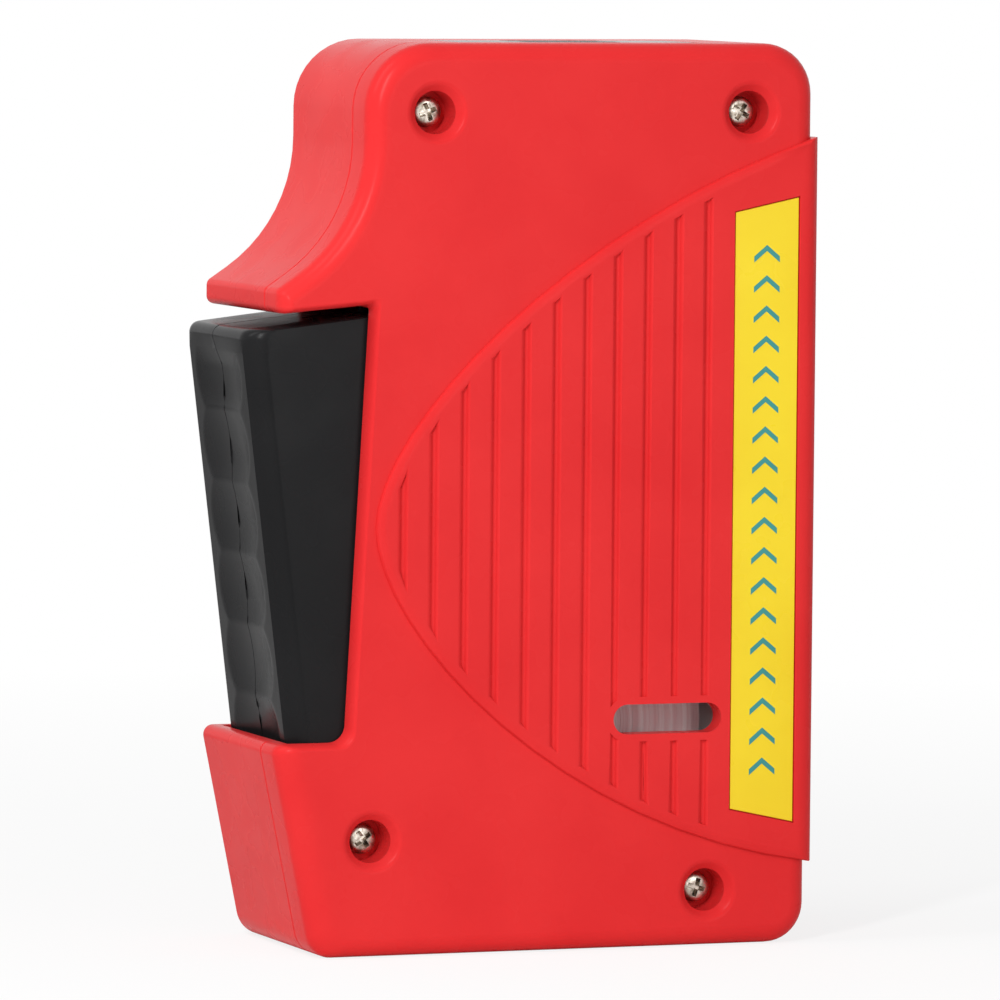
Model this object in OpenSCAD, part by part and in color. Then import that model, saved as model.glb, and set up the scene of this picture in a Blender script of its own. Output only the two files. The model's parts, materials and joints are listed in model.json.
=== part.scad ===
// Hand-held cleaning cassette for fibre connectors. Squeezing the lever slides the shutter
// off two cleaning slots in the top end and winds a dry tape forward one step.
// X runs across the front face, Y runs from the front to the back, Z runs up.
// The origin is the middle of the flat foot that the cassette stands on. Depths are written
// from the front face, and the basic shapes below take off half the housing's depth.

/* [Housing] */
// Height from the foot to the top end
housing_h = 134.5; // [130:0.5:140]
// Depth from the front face to the back face
housing_d = 36; // [35:0.5:38]
// Width of the foot
foot_w = 78; // [76:0.5:82]
// Width above the grip, from the plain side to the grip side
upper_w = 70.5; // [69.5:0.5:73]
// Width at the top of the lower block
block_w = 84.5; // [83:0.5:87]
// Height of the lower block
block_h = 31.8; // [31:0.2:33]
// Wall thickness of both shells
wall = 2.4; // [2:0.1:2.8]
// Depth of the front cover, from the front face to the parting line
cover_d = 7.75; // [7.4:0.05:8.2]
// Radius of the soft edge round the front face
front_edge_r = 3; // [2:0.25:3.5]
// Radius of the soft edge round the back face
back_edge_r = 2; // [1:0.25:3]
// Bevel that makes the groove at the parting line
parting_bevel = 0.25; // [0.15:0.05:0.4]

/* [Grip] */
// Width from the plain side to the nose of the finger hook
hook_w = 84; // [82:0.5:86]
// Height of the hook's underside at its nose
hook_z = 94.8; // [94:0.2:95.6]
// Thickness of the hook's nose
hook_t = 3.6; // [3:0.2:4.2]
// Slope of the hook's upper side
hook_slope = 34; // [32:1:38]
// Radius of the finger curve above the hook
hook_curve_r = 23.5; // [20:0.5:25]
// Width from the plain side to the recess edge, at its top
recess_top_w = 69.5; // [68.5:0.25:70]
// Width from the plain side to the recess edge, at its bottom
recess_foot_w = 73; // [72:0.25:73.5]
// Rise of the hook's underside towards the recess
recess_rise = 1.3; // [0.8:0.1:1.6]
// Thickness of the rim left at the front and back of the recess
recess_rim = 2.8; // [2.6:0.1:3]

/* [Arch panel] */
// How far the panel stands proud of the front face
panel_t = 1; // [0.6:0.1:1.4]
// How far its band stands proud of the plain side
band_t = 0.8; // [0.4:0.1:1]
// Height of the arch's tip
arch_tip_z = 63.4; // [60:0.5:66]
// Width from the plain side to the arch's tip
arch_w = 69.2; // [60:0.5:69.5]
// Height where the arch's upper edge meets the plain side
arch_top_z = 120.6; // [112:0.5:121]
// Height where the arch's lower edge meets the plain side
arch_foot_z = 12.3; // [11:0.5:20]
// Softness of the panel's edge
panel_edge = 0.7; // [0.3:0.1:0.8]
// How far that softness runs in from the panel's outline
panel_slope = 1.5; // [0.6:0.1:1.6]
// Distance between grooves
groove_pitch = 4.78; // [4.4:0.02:5]
// Width of a groove
groove_w = 1.2; // [0.8:0.1:1.6]
// Depth of a groove
groove_t = 0.55; // [0.3:0.05:0.8]
// Distance from the plain side to the first groove
groove_inset = 17.5; // [17.5:0.1:19]
// Distance that a groove stops short of the arch's edge
groove_gap = 1.9; // [1.7:0.1:2.2]

/* [View window] */
// Length of the slot
view_l = 17.2; // [14:0.2:18]
// Height of the slot
view_h = 4.45; // [4:0.05:5]
// Distance from the plain side to the middle of the slot
view_inset = 23.3; // [22.5:0.1:24]
// Height of the middle of the slot
view_z = 34.4; // [33:0.2:36]
// Width of the raised rim round the slot
view_rim = 1.1; // [0.6:0.1:1.3]
// Thickness of the clear pane
pane_t = 0.8; // [0.6:0.1:1]

/* [Label] */
// Width of the label
label_w = 10.1; // [9:0.1:10.5]
// Height of the label's longer side
label_h = 93.3; // [88:0.2:94]
// Distance from the plain side to the label
label_inset = 3; // [2.8:0.1:3.5]
// Height of the label's lower corner on the plain side
label_z = 18.4; // [17:0.2:20]
// Step of the slanted ends
label_slant = 2.2; // [1:0.1:3]
// Thickness of the label
label_t = 0.4; // [0.3:0.05:0.5]
// Depth of the recess that it lies in
label_recess = 0.6; // [0.5:0.05:0.7]

/* [Screws] */
// Diameter of a screw head
screw_head_d = 4.5; // [4:0.1:5]
// Height of a screw head
screw_head_h = 1.7; // [1.4:0.1:2]
// Diameter of a screw shank
screw_d = 2.3; // [2:0.1:2.5]
// Length of a screw under its head
screw_l = 14; // [12:0.5:16]
// Diameter of a counterbore
bore_d = 6.4; // [6:0.1:7.2]
// Diameter of the bevel at a counterbore's mouth
bore_bevel_d = 8.8; // [8.2:0.1:9.2]
// Depth of the counterbore's floor under the front face
bore_depth = 6; // [5.4:0.1:6.2]
// Distance of the upper screws from the top end
screw_top_in = 10.2; // [10:0.1:11]
// Distance of the upper screw on the grip side from the upper wall there
screw_grip_in = 10.5; // [10.5:0.1:11]
// Distance of the upper screw on the plain side from that side
screw_side_in = 10.4; // [10:0.1:11]
// Distances of the lower grip-side screw from the plain side and the foot
screw_block_in = [69.3, 17.2];
// Distances of the lower plain-side screw from the plain side and the foot
screw_foot_in = [16.3, 8.4];

/* [Lever] */
// Distance from the front face to the lever's side, and the same at the back
lever_y = 3.2; // [3.1:0.1:3.6]
// Width from the plain side to the lever's top corner
lever_top_w = 88.4; // [86:0.2:89]
// Width from the plain side to the lever's foot
lever_foot_w = 79.9; // [79.5:0.1:80.2]
// Height of the lever above its pivot, at its grip face
lever_rise = 65.4; // [64.6:0.2:65.6]
// Width of the lever across its top end
lever_top_d = 20.6; // [20:0.2:21]
// Radius of the lever's foot round the pivot
lever_foot_r = 4.9; // [4.4:0.1:5]
// Wall thickness of the lever halves
lever_wall = 1.8; // [1.5:0.1:2]
// Softness of the lever's long edges
lever_edge = 3.6; // [2:0.2:4.2]
// Depth of the finger scallops
scallop_t = 0.55; // [0.2:0.05:0.8]
// Number of finger scallops
scallop_n = 6; // [3:1:6]
// Height of the pivot under the top of the lower block
pivot_drop = 4.8; // [4.4:0.1:5.2]
// Distance of the pivot from the side of the lower block
pivot_in = 9; // [8.8:0.1:9.4]
// Diameter of the pivot pin
pin_d = 3; // [2.6:0.1:3.2]
// Diameter of the return spring's wire
spring_wire = 0.9; // [0.7:0.05:1]
// Turns of the return spring
spring_turns = 7; // [5:1:8]

/* [Drive] */
// Size of the drive teeth: pitch diameter over their number
tooth_size = 1; // [0.95:0.05:1.05]
// Teeth on the drive gear
gear_teeth = 18; // [18:1:18]
// Teeth that the sector would have as a full wheel
sector_teeth = 118; // [118:1:118]
// Direction of the take-up reel from the pivot, in degrees above level
drive_angle = 51.5; // [51:0.1:52]
// Thickness of the drive arm
arm_t = 2; // [1.6:0.1:2.1]
// Teeth on the ratchet wheel
ratchet_teeth = 24; // [24:1:24]
// Ratchet teeth that one squeeze winds on
step_teeth = 4; // [4:1:4]
// Radius of the ratchet wheel
ratchet_r = 8.6; // [8:0.1:9]
// Depth of a ratchet tooth
tooth_h = 1; // [0.8:0.05:1.1]
// Thickness of the ratchet wheel and the pawls
ratchet_t = 1.7; // [1.4:0.1:1.8]

/* [Reels and tape] */
// Depth that the walls and the drive leave free of tape
drive_depth = 20; // [20:0.1:21]
// Distance from the front face to the tape
tape_y = 7; // [6.8:0.1:7.4]
// Thickness that the free tape is drawn with
tape_t = 0.2; // [0.15:0.05:0.25]
// Radius of the full supply roll
roll_r = 22.5; // [20:0.5:23.5]
// Radius of the supply reel's flange
supply_flange_r = 24.2; // [23.8:0.2:24.6]
// Distance from the plain side to the supply reel's axis
supply_inset = 37.5; // [36.5:0.5:38]
// Height of the supply reel's axis
supply_z = 33.4; // [33:0.2:34]
// Radius of a reel's hub
hub_r = 7.5; // [7:0.1:8]
// Radius of the take-up reel's flanges
take_up_flange_r = 20.5; // [19:0.5:20.5]
// Radius of the used tape on the take-up reel
winding_r = 10; // [9:0.5:12]
// Thickness of a reel's flange
flange_t = 1.3; // [1:0.1:1.4]
// Radius of the posts that the reels turn on
post_r = 3; // [2.6:0.1:3.2]
// Radius of a guide roller
roller_r = 4; // [3.6:0.1:4.2]
// Diameter of a roller's pin
roller_pin_d = 2; // [1.8:0.1:2.2]

/* [Cleaning head] */
// Distance from the plain side to the middle of the cleaning slots
head_inset = 35; // [34:0.5:36]
// Rim of the window plate beside its slots
slot_rim = 1.1; // [1:0.1:1.3]
// Bar between the two cleaning slots
slot_bar = 2.9; // [2.7:0.1:3.1]
// Thickness of the shutter
shutter_t = 0.8; // [0.7:0.05:0.9]
// Distance from the plain side to the shutter's drive pin, when closed
drive_pin_inset = 53; // [52.5:0.1:53.4]
// Distance of that pin under the top end
drive_pin_drop = 16.5; // [16:0.1:17]
// Thickness of the rubber pad
pad_t = 3; // [2:0.2:4]

/* [Hidden] */

// Facets of round things
$fn = 48;
// Points on each rounded corner of an outline
corner_steps = 6;
// Steps round a corner of the housing's outline
outline_steps = 10;
// Overrun of every cut
over = 1;
// Running clearance of a shaft in its hole, on the radius
run = 0.05;
// Gap between faces that pass each other
gap = 0.4;
// A corner that is left almost sharp
crisp_r = 0.2;

// Middle of the housing's depth
mid_y = housing_d / 2;

// Places of the outline's sides
side_x = foot_w / 2;
grip_x = side_x - upper_w;
block_x = side_x - block_w;
hook_x = side_x - hook_w;
recess_top_x = side_x - recess_top_w;
recess_foot_x = side_x - recess_foot_w;

// Radii of the outline's corners, from the foot on the grip side, anticlockwise
foot_corner_r = 4;
side_foot_r = 6;
side_top_r = 7.5;
grip_top_r = 10;
nose_r = 1.2;
recess_top_r = 0.8;
recess_foot_r = 2.6;
block_corner_r = 1.5;
// Edge softness of the block's side, the hook's nose and the recess's edges
block_edge_r = 4.2;
nose_edge_r = 2.2;
recess_edge_r = 1;
// The corners' radii where the soft front edge has run out on the front face
front_corner_r = 3;
front_top_r = 5;

// Vector helpers on [x, z] pairs
function unit(v) = v / norm(v);
function turn(v) = [-v[1], v[0]];
function positive(a) = (a % 360 + 360) % 360;
function wrap(a) = positive(a + 180) - 180;
function polar(r, a) = [r * cos(a), r * sin(a)];
function around(c, r, a0, a1, n) = [for (i = [0:n]) c + polar(r, a0 + (a1 - a0) * i / n)];

// Corner points of an outline whose sides have moved inwards, each by its own amount
function inset_corners(v, d) = let (n = len(v)) [for (i = [0:n - 1])
    let (n1 = turn(unit(v[i] - v[(i + n - 1) % n])), n2 = turn(unit(v[(i + 1) % n] - v[i])),
        d1 = d[(i + n - 1) % n], d2 = d[i], det = n1[0] * n2[1] - n1[1] * n2[0])
    v[i] + [d1 * n2[1] - d2 * n1[1], n1[0] * d2 - n2[0] * d1] / det];

// The outline with every corner rounded by an arc that touches both sides
function rounded(v, r, steps) = let (n = len(v)) [for (i = [0:n - 1])
    let (a = unit(v[(i + n - 1) % n] - v[i]), b = unit(v[(i + 1) % n] - v[i]),
        half = acos(a * b) / 2, c = v[i] + unit(a + b) * r[i] / sin(half),
        t1 = v[i] + a * r[i] / tan(half) - c, t2 = v[i] + b * r[i] / tan(half) - c,
        a1 = atan2(t1[1], t1[0]), sweep = wrap(atan2(t2[1], t2[0]) - a1))
    each around(c, r[i], a1, a1 + sweep, steps)];

function mix(a, b, share) = a * (1 - share) + b * share;

// The housing's outline: its corners, and their radii at the walls and on the front face
housing_corners = [[-side_x, 0], [side_x, 0], [side_x, housing_h], [grip_x, housing_h],
    [grip_x, hook_z + hook_t + (grip_x - hook_x) * tan(hook_slope)],
    [hook_x, hook_z + hook_t], [hook_x, hook_z], [recess_top_x, hook_z + recess_rise],
    [recess_foot_x, block_h], [block_x, block_h]];
wall_radii = [foot_corner_r, side_foot_r, side_top_r, grip_top_r, hook_curve_r, nose_r, nose_r,
    recess_top_r, recess_foot_r, block_corner_r];
face_radii = [front_corner_r, front_corner_r, front_top_r, front_top_r + front_corner_r,
    hook_curve_r + front_edge_r, crisp_r / 2, crisp_r / 2, recess_top_r, recess_foot_r,
    crisp_r];
soft = [front_edge_r, front_edge_r, front_edge_r, front_edge_r, front_edge_r, nose_edge_r,
    recess_edge_r, recess_edge_r, recess_edge_r, block_edge_r];
function housing_ring(share, side_out = 0) = rounded(
    inset_corners(housing_corners, [for (i = [0:len(soft) - 1])
        soft[i] * share - (i == 1 ? side_out : 0)]),
    [for (i = [0:len(soft) - 1]) mix(wall_radii[i], face_radii[i], share)], outline_steps);

// The inside of the shells
inner_corners = [[-side_x + wall, wall], [side_x - wall, wall],
    [side_x - wall, housing_h - wall], [grip_x + wall, housing_h - wall],
    [grip_x + wall, hook_z + hook_t + (grip_x - hook_x) * tan(hook_slope)],
    [recess_top_x + wall, hook_z + recess_rise + wall], [recess_foot_x + wall, block_h - wall],
    [block_x + wall + gap, block_h - wall]];
inner_radii = [foot_corner_r - wall, side_foot_r - wall, side_top_r - wall, grip_top_r - wall,
    hook_curve_r / 4, crisp_r, crisp_r, crisp_r];

// Pivot of the lever
pivot = [block_x + pivot_in, block_h - pivot_drop];
// Lever seen from the front: foot at the recess, foot at the grip, top at the grip, top inside
lever_d = housing_d - 2 * lever_y;
lever_top = [side_x - lever_top_w, pivot[1] + lever_rise];
lever_foot_x = side_x - lever_foot_w;
lever_lean = atan((lever_foot_x - lever_top[0]) / (lever_rise + lever_foot_r));
lever_corners = [[lever_foot_x, pivot[1] - lever_foot_r],
    [pivot[0] + lever_foot_r, pivot[1] - lever_foot_r],
    [lever_top[0] + lever_top_d, lever_top[1] + lever_top_d * tan(lever_lean)], lever_top];
lever_top_r = 1.6;
lever_inner_r = 1;
lever_seam = 0.1;
seam_back = 1;
lever_mid_y = mid_y + seam_back;

// Gears: the sector on the lever turns the gear on the take-up post
centre_distance = tooth_size * (gear_teeth + sector_teeth) / 2;
take_up = pivot + polar(centre_distance, drive_angle);
supply = [side_x - supply_inset, supply_z];
step_angle = step_teeth * 360 / ratchet_teeth;
lever_stroke = step_angle * gear_teeth / sector_teeth;
backlash_share = 0.08;
addendum_share = 0.85;
dedendum_share = 1.2;
pressure_angle = 20;
flank_steps = 3;

// Layers, from the front to the back
tape_w = housing_d - drive_depth;
inner_y = housing_d - wall;
spool_y = tape_y - gap;
flange_y = tape_y + tape_w + gap;
ratchet_y = flange_y + flange_t;
pawl_gap = 0.25;
pawl_y = ratchet_y + pawl_gap;
ratchet_back = ratchet_y + ratchet_t;
layer_gap = 0.3;
carrier_y = ratchet_back + layer_gap;
carrier_t = 1;
arm_y = carrier_y + carrier_t + layer_gap;
arm_back = arm_y + arm_t;
shoulder_y = arm_back + layer_gap;
take_up_socket_y = spool_y - flange_t - gap;
supply_socket_y = spool_y - gap;
supply_shoulder_y = flange_y + flange_t + 5 * layer_gap;
post_shoulder_r = post_r + 2;

// Screws: bosses round them, and the free hole in the front cover
screw_places = [[grip_x + screw_grip_in, housing_h - screw_top_in],
    [side_x - screw_side_in, housing_h - screw_top_in],
    [side_x - screw_block_in[0], screw_block_in[1]], [side_x - screw_foot_in[0], screw_foot_in[1]]];
boss_wall = 1.1;
front_boss_r = bore_d / 2 + boss_wall;
rear_boss_r = screw_d / 2 + 2 * boss_wall;
screw_slip = 0.15;
pilot_spare = 1.5;
cross_l = 2.9;
cross_w = 0.7;
cross_depth = 1;

// The guide rollers, their pins and the bosses that hold the pins
roller_side_in = 8.5;
roller_right_in = [12, 21.5];
roller_left_in = [8, 25.5];
roller_lower = [side_x - roller_side_in, supply[1] + roll_r];
roller_right = [side_x - roller_right_in[0], housing_h - roller_right_in[1]];
roller_left = [grip_x + roller_left_in[0], housing_h - roller_left_in[1]];
roller_places = [roller_lower, roller_right, roller_left];
roller_pin_y = 4.2;
roller_pin_l = 25;
pin_boss_r = roller_pin_d / 2 + 2;

// The pivot's bosses in both shells
pivot_pin_y = 1.2;
pivot_boss_r = pin_d / 2 + 2;
lever_side_gap = 0.5;

// The slot that the lever moves in, cut through the walls between the rims
slot_foot_x = block_x + wall + gap;
slot_bottom = block_h - wall - gap;
slot_top = hook_z + recess_rise - gap;
slot_x1 = max(grip_x, recess_top_x) + 4 * wall;
lever_slot = [[slot_foot_x, slot_bottom], [slot_foot_x, block_h + over],
    [recess_foot_x - 2 * over, block_h + over], [recess_top_x - 2 * over, slot_top],
    [slot_x1, slot_top], [slot_x1, slot_bottom]];

// Steps round a soft edge, and the smaller steps round the panel's edge
edge_steps = 5;
panel_steps = 3;

// The arch: each curve runs from the tip to the plain side, drawn by two handles
arch_tip = [side_x - arch_w, arch_tip_z];
arch_steps = 16;
arch_handle_up = 15.1;
arch_handle_down = 15.3;
arch_top_handle = 41;
arch_top_angle = 18.2;
arch_foot_handle = 40.3;
arch_foot_angle = -7.6;
arch_top = [side_x, arch_top_z];
arch_foot = [side_x, arch_foot_z];
arch_upper = [arch_tip, arch_tip + [0, arch_handle_up],
    arch_top - polar(arch_top_handle, arch_top_angle), arch_top];
arch_lower = [arch_tip, arch_tip - [0, arch_handle_down],
    arch_foot - polar(arch_foot_handle, arch_foot_angle), arch_foot];
function bezier(p, t) = pow(1 - t, 3) * p[0] + 3 * t * pow(1 - t, 2) * p[1]
    + 3 * t * t * (1 - t) * p[2] + pow(t, 3) * p[3];
function bezier_way(p, t) = unit(pow(1 - t, 2) * (p[1] - p[0]) + 2 * t * (1 - t) * (p[2] - p[1])
    + t * t * (p[3] - p[2]));
// The arch's outline, moved inwards, with its open end past the plain side
function arch_ring(inset) = concat(
    [for (i = [0:arch_steps]) let (t = i / arch_steps)
        bezier(arch_lower, t) + inset * turn(bezier_way(arch_lower, t))],
    [arch_foot + [2 * band_t + over, inset], arch_top + [2 * band_t + over, -inset]],
    [for (i = [arch_steps:-1:1]) let (t = i / arch_steps)
        bezier(arch_upper, t) - inset * turn(bezier_way(arch_upper, t))]);

// The view window, its rim and the pane behind it
view = [side_x - view_inset, view_z];
pane_margin = 1.2;
pane_side_margin = 3;

// The label's corners
label_corners = [[side_x - label_inset - label_w, label_z + label_slant],
    [side_x - label_inset, label_z], [side_x - label_inset, label_z + label_h],
    [side_x - label_inset - label_w, label_z + label_h - label_slant]];
label_gap = 0.15;

// The ratchet's two pawls stand on one pitch, so that both drop in together
ratchet_pitch = 360 / ratchet_teeth;
anti_pawl_r = 17;
anti_pawl_a = 20;
anti_sweep = 35;
anti_tip_a = anti_pawl_a + anti_sweep;
teeth_between = 5;
drive_tip_a = anti_tip_a + teeth_between * ratchet_pitch;
drive_pawl_r = 11.6;
drive_sweep = 42;
drive_pawl_a = drive_tip_a - drive_sweep;
anti_pawl_place = take_up + polar(anti_pawl_r, anti_pawl_a);
drive_pawl_place = take_up + polar(drive_pawl_r, drive_pawl_a);
pawl_pin_r = 1;
pawl_eye_r = 2.2;
pawl_half = 1.4;
pawl_tip_t = 1.3;
pawl_lift = 0.35;
pawl_reach = 1.5;
carrier_r = 14;

// Reels: sockets and shoulders of their posts, the ratchet's key, and the flanges' windows
cavity = rounded(inner_corners, inner_radii, corner_steps);
socket_r = post_r + 1.2;
supply_shoulder_r = 10;
key_hub_r = 5;
key_h = 0.8;
key_w = 1.6;
flange_holes = 5;
tape_bend_steps = 8;

// The lever's hubs, the arm's pegs, stem, fork and sector, and the return spring
lever_hub_r = 2.9;
cheek_half = 2;
cheek_t = 0.1;
lever_bands = 5;
scallop_steps = 6;
// The finger rests: half width of a rest, how deep the trough round them is against a rest,
// and how fast they fade at the lever's ends
finger_w = 6.6;
finger_trough = 1.75;
finger_fade = 16;
// How far the grip line bows outwards where no rest is sunk in it
finger_crown = 0.03;
arm_hub_r = lever_hub_r + layer_gap / 2;
lever_axis = unit(lever_top + [lever_top_d / 2, 0] - pivot);
peg_rise = [18, 35];
arm_pegs = [for (rise = peg_rise) pivot + rise * lever_axis];
peg_r = 1.2;
stem_half = 2.5;
fork_half = 3.7;
fork_in = 8.7;
fork_out = 7.3;
fork_play = 0.45;
arm_rib = 2;
sector_rim = 6;
sector_spare = 1.2;
spring_r = 2.3;
spring_y = 10.2;
spring_pitch = 1.4;
spring_leg = 12;
spring_leg_x = lever_foot_x - (spring_leg + lever_foot_r) * tan(lever_lean)
    + lever_wall / cos(lever_lean) + spring_wire / 2 + layer_gap;
spring_steps = 8;
arm_tube_y = spring_y + spring_pitch * spring_turns + gap + spring_wire;

// The cleaning head: the window plate in the top end, the shutter under it, the pad below
head_x = side_x - head_inset;
tape_mid_y = tape_y + tape_w / 2;
plate_slip = 0.1;
head_y0 = cover_d + 2 * plate_slip;
head_y1 = 2 * tape_mid_y - head_y0;
slot_w = (head_y1 - head_y0 - 2 * slot_rim - slot_bar) / 2;
slot_pitch = slot_w + slot_bar;
plate_t = wall;
plate_l = 38;
plate_rebate = 1;
slot_l = 15;
shutter_y0 = head_y0 + gap / 2;
shutter_y1 = head_y1 - gap / 2;
shutter_z = housing_h - wall - layer_gap - shutter_t;
shutter_margin = 0.5;
shutter_cover = 0.8;
shutter_over = 2;
shutter_x1 = head_x + slot_l / 2 + shutter_over;
aperture_x1 = head_x - slot_l / 2 - shutter_cover;
aperture_x0 = aperture_x1 - slot_l - 2 * shutter_margin;
shutter_end = 2.5;
shutter_x0 = aperture_x0 - shutter_end;
rail_t = 0.5;
rail_z = shutter_z - plate_slip - rail_t;
rail_rib_t = 1.35;
rail_lap = 0.6;
rail_x = [-24, 31];
rear_rails = [[-25.5, -19], [6, 31]];
tape_z = rail_z - gap;
pad_w = 20;
pad_depth = tape_w - 1;
pad_end_r = pad_t / 2;
carrier_h = 8.7;
carrier_top_t = 1.6;
carrier_rib_t = 1.5;
carrier_bar_x = head_x + 3.5;
carrier_bar_w = 6;
pin_r = 1.2;
leg_w = 3;
leg_t = 1.5;
leg_y = arm_back + gap;
drive_pin = [side_x - drive_pin_inset, housing_h - drive_pin_drop];
pin_way = drive_pin - pivot;
fork_r = [norm(pin_way) - fork_in, norm(pin_way) + fork_out];
fork_angle = atan(pin_way[0] / pin_way[1]);
shutter_travel = pin_way[1] * tan(fork_angle + lever_stroke) - pin_way[0];
echo(lever_stroke = lever_stroke, shutter_travel = shutter_travel, take_up = take_up, pivot = pivot,
    drive_pin = drive_pin, travel_per_radian = shutter_travel / (lever_stroke * PI / 180));

module slab(y0, y1) {
    translate([0, y1 - mid_y, 0]) rotate([90, 0, 0]) linear_extrude(y1 - y0) children();
}
module rod(c, r, y0, y1) {
    translate([c[0], y1 - mid_y, c[1]]) rotate([90, 0, 0]) cylinder(r = r, h = y1 - y0);
}
module cone(c, r0, r1, y0, y1) {
    translate([c[0], y1 - mid_y, c[1]]) rotate([90, 0, 0]) cylinder(r1 = r1, r2 = r0, h = y1 - y0);
}
module ring(c, r_in, r_out, y0, y1) {
    difference() {
        rod(c, r_out, y0, y1);
        rod(c, r_in, y0 - over, y1 + over);
    }
}
// A slot with round ends, cut square to the front face
module round_slot(c, l, h, y0, y1) {
    for (side = [-1, 1]) rod(c + [side * (l - h) / 2, 0], h / 2, y0, y1);
    slab(y0, y1) translate(c - [(l - h) / 2, h / 2]) square([l - h, h]);
}
// A box between two corners
module block(from, to) { translate(from - [0, mid_y, 0]) cube(to - from); }
// A skin through outlines that lie at the given depths
module loft(depths, rings) {
    n = len(rings[0]);
    last = len(rings) - 1;
    polyhedron(
        points = [for (i = [0:last]) for (p = rings[i]) [p[0], depths[i] - mid_y, p[1]]],
        faces = concat([[for (j = [n - 1:-1:0]) j]], [[for (j = [0:n - 1]) last * n + j]],
            [for (i = [0:last - 1]) for (j = [0:n - 1]) let (k = (j + 1) % n)
                [i * n + j, i * n + k, (i + 1) * n + k, (i + 1) * n + j]]),
        convexity = 8);
}
// Depths and shares of the levels of a soft front edge, from the face inwards
function edge_depths(y, r, steps) = [for (i = [0:steps]) y + r * (1 - cos(90 * i / steps))];
function edge_shares(steps) = [for (i = [0:steps]) 1 - sin(90 * i / steps)];
// The same levels with the first one moved out past the face, where the skin is cut flat
function run_past(v) = [for (i = [0:len(v) - 1]) i > 0 ? v[i] : mix(v[0], v[1], -face_lead)];

face_lead = 0.06;
bevel_share = parting_bevel / front_edge_r;
back_share = back_edge_r / front_edge_r;

// The outer skins run past the parting line, with the slope of its bevel, and are cut there.
// They run past the flat face in the same way, and are cut flat at it.
module front_skin(y, side_out) {
    difference() {
        loft(concat(run_past(edge_depths(y, front_edge_r, edge_steps)),
                [cover_d - parting_bevel, cover_d + parting_bevel]),
            [for (s = concat(run_past(edge_shares(edge_steps)), [0, 2 * bevel_share]))
                housing_ring(s, side_out)]);
        parting_cut(y - over, y);
    }
}
module rear_skin(side_out) {
    depths = run_past(edge_depths(0, back_edge_r, edge_steps));
    shares = run_past(edge_shares(edge_steps));
    difference() {
        loft(concat([cover_d - parting_bevel, cover_d + parting_bevel],
                [for (i = [edge_steps:-1:0]) housing_d - depths[i]]),
            [for (s = concat([2 * bevel_share, 0],
                    [for (i = [edge_steps:-1:0]) back_share * shares[i]]))
                housing_ring(s, side_out)]);
        parting_cut(housing_d, housing_d + over);
    }
}
module parting_cut(y0, y1) {
    block([-2 * foot_w, y0, -over], [2 * foot_w, y1, housing_h + over]);
}
module arch_panel() {
    intersection() {
        front_skin(-panel_t, band_t);
        loft(concat(edge_depths(-panel_t, panel_edge, panel_steps), [cover_d + over]),
            [for (s = concat(edge_shares(panel_steps), [0])) arch_ring(panel_slope * s)]);
    }
}
module grooves() {
    count = floor((arch_w - groove_inset - groove_gap) / groove_pitch);
    intersection() {
        for (i = [0:count]) {
            x = side_x - groove_inset - i * groove_pitch;
            block([x - groove_w / 2, -panel_t - over, 0],
                [x + groove_w / 2, groove_t - panel_t, housing_h]);
        }
        difference() {
            slab(-panel_t - 2 * over, groove_t) polygon(arch_ring(groove_gap));
            round_slot(view, view_l + 2 * view_rim, view_h + 2 * view_rim,
                -panel_t - 3 * over, groove_t + over);
        }
    }
}
module view_slot() {
    round_slot(view, view_l, view_h, -panel_t - over, wall + over);
}
module counterbore(c) {
    rod(c, bore_d / 2, -over, bore_depth);
    cone(c, bore_bevel_d / 2, bore_d / 2, 0, (bore_bevel_d - bore_d) / 2);
    rod(c, bore_bevel_d / 2, -over, 0);
    rod(c, screw_d / 2 + screw_slip, bore_depth - over, cover_d + over);
}
module shutter_rail(y_rib, y_lip, x0, x1) {
    block([x0, y_rib[0], rail_z], [x1, y_rib[1], housing_h - wall / 2]);
    block([x0, y_lip[0], rail_z], [x1, y_lip[1], rail_z + rail_t]);
}

module front_cover() color("crimson") difference() {
    union() {
        difference() {
            union() {
                front_skin(0, 0);
                arch_panel();
            }
            slab(wall, cover_d + over) polygon(cavity);
            parting_cut(cover_d, cover_d + over);
        }
        for (c = screw_places) rod(c, front_boss_r, wall / 2, cover_d);
        for (c = roller_places) rod(c, pin_boss_r, wall / 2, spool_y - gap / 2);
        rod(take_up, socket_r, wall / 2, take_up_socket_y);
        rod(supply, socket_r, wall / 2, supply_socket_y);
        rod(pivot, pivot_boss_r, wall / 2, lever_y - lever_side_gap);
        shutter_rail([cover_d - rail_rib_t, cover_d - run],
            [cover_d - rail_rib_t, shutter_y0 + rail_lap], rail_x[0], rail_x[1]);
    }
    slab(recess_rim, cover_d + over) polygon(lever_slot);
    for (c = screw_places) counterbore(c);
    for (c = roller_places) rod(c, roller_pin_d / 2 + run, roller_pin_y, cover_d);
    for (c = [take_up, supply]) rod(c, post_r + run, wall, cover_d);
    rod(pivot, pin_d / 2 + run, pivot_pin_y, cover_d);
    grooves();
    view_slot();
    slab(label_recess - panel_t - over, label_recess - panel_t)
        polygon(inset_corners(label_corners, [for (c = label_corners) -label_gap]));
}

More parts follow.
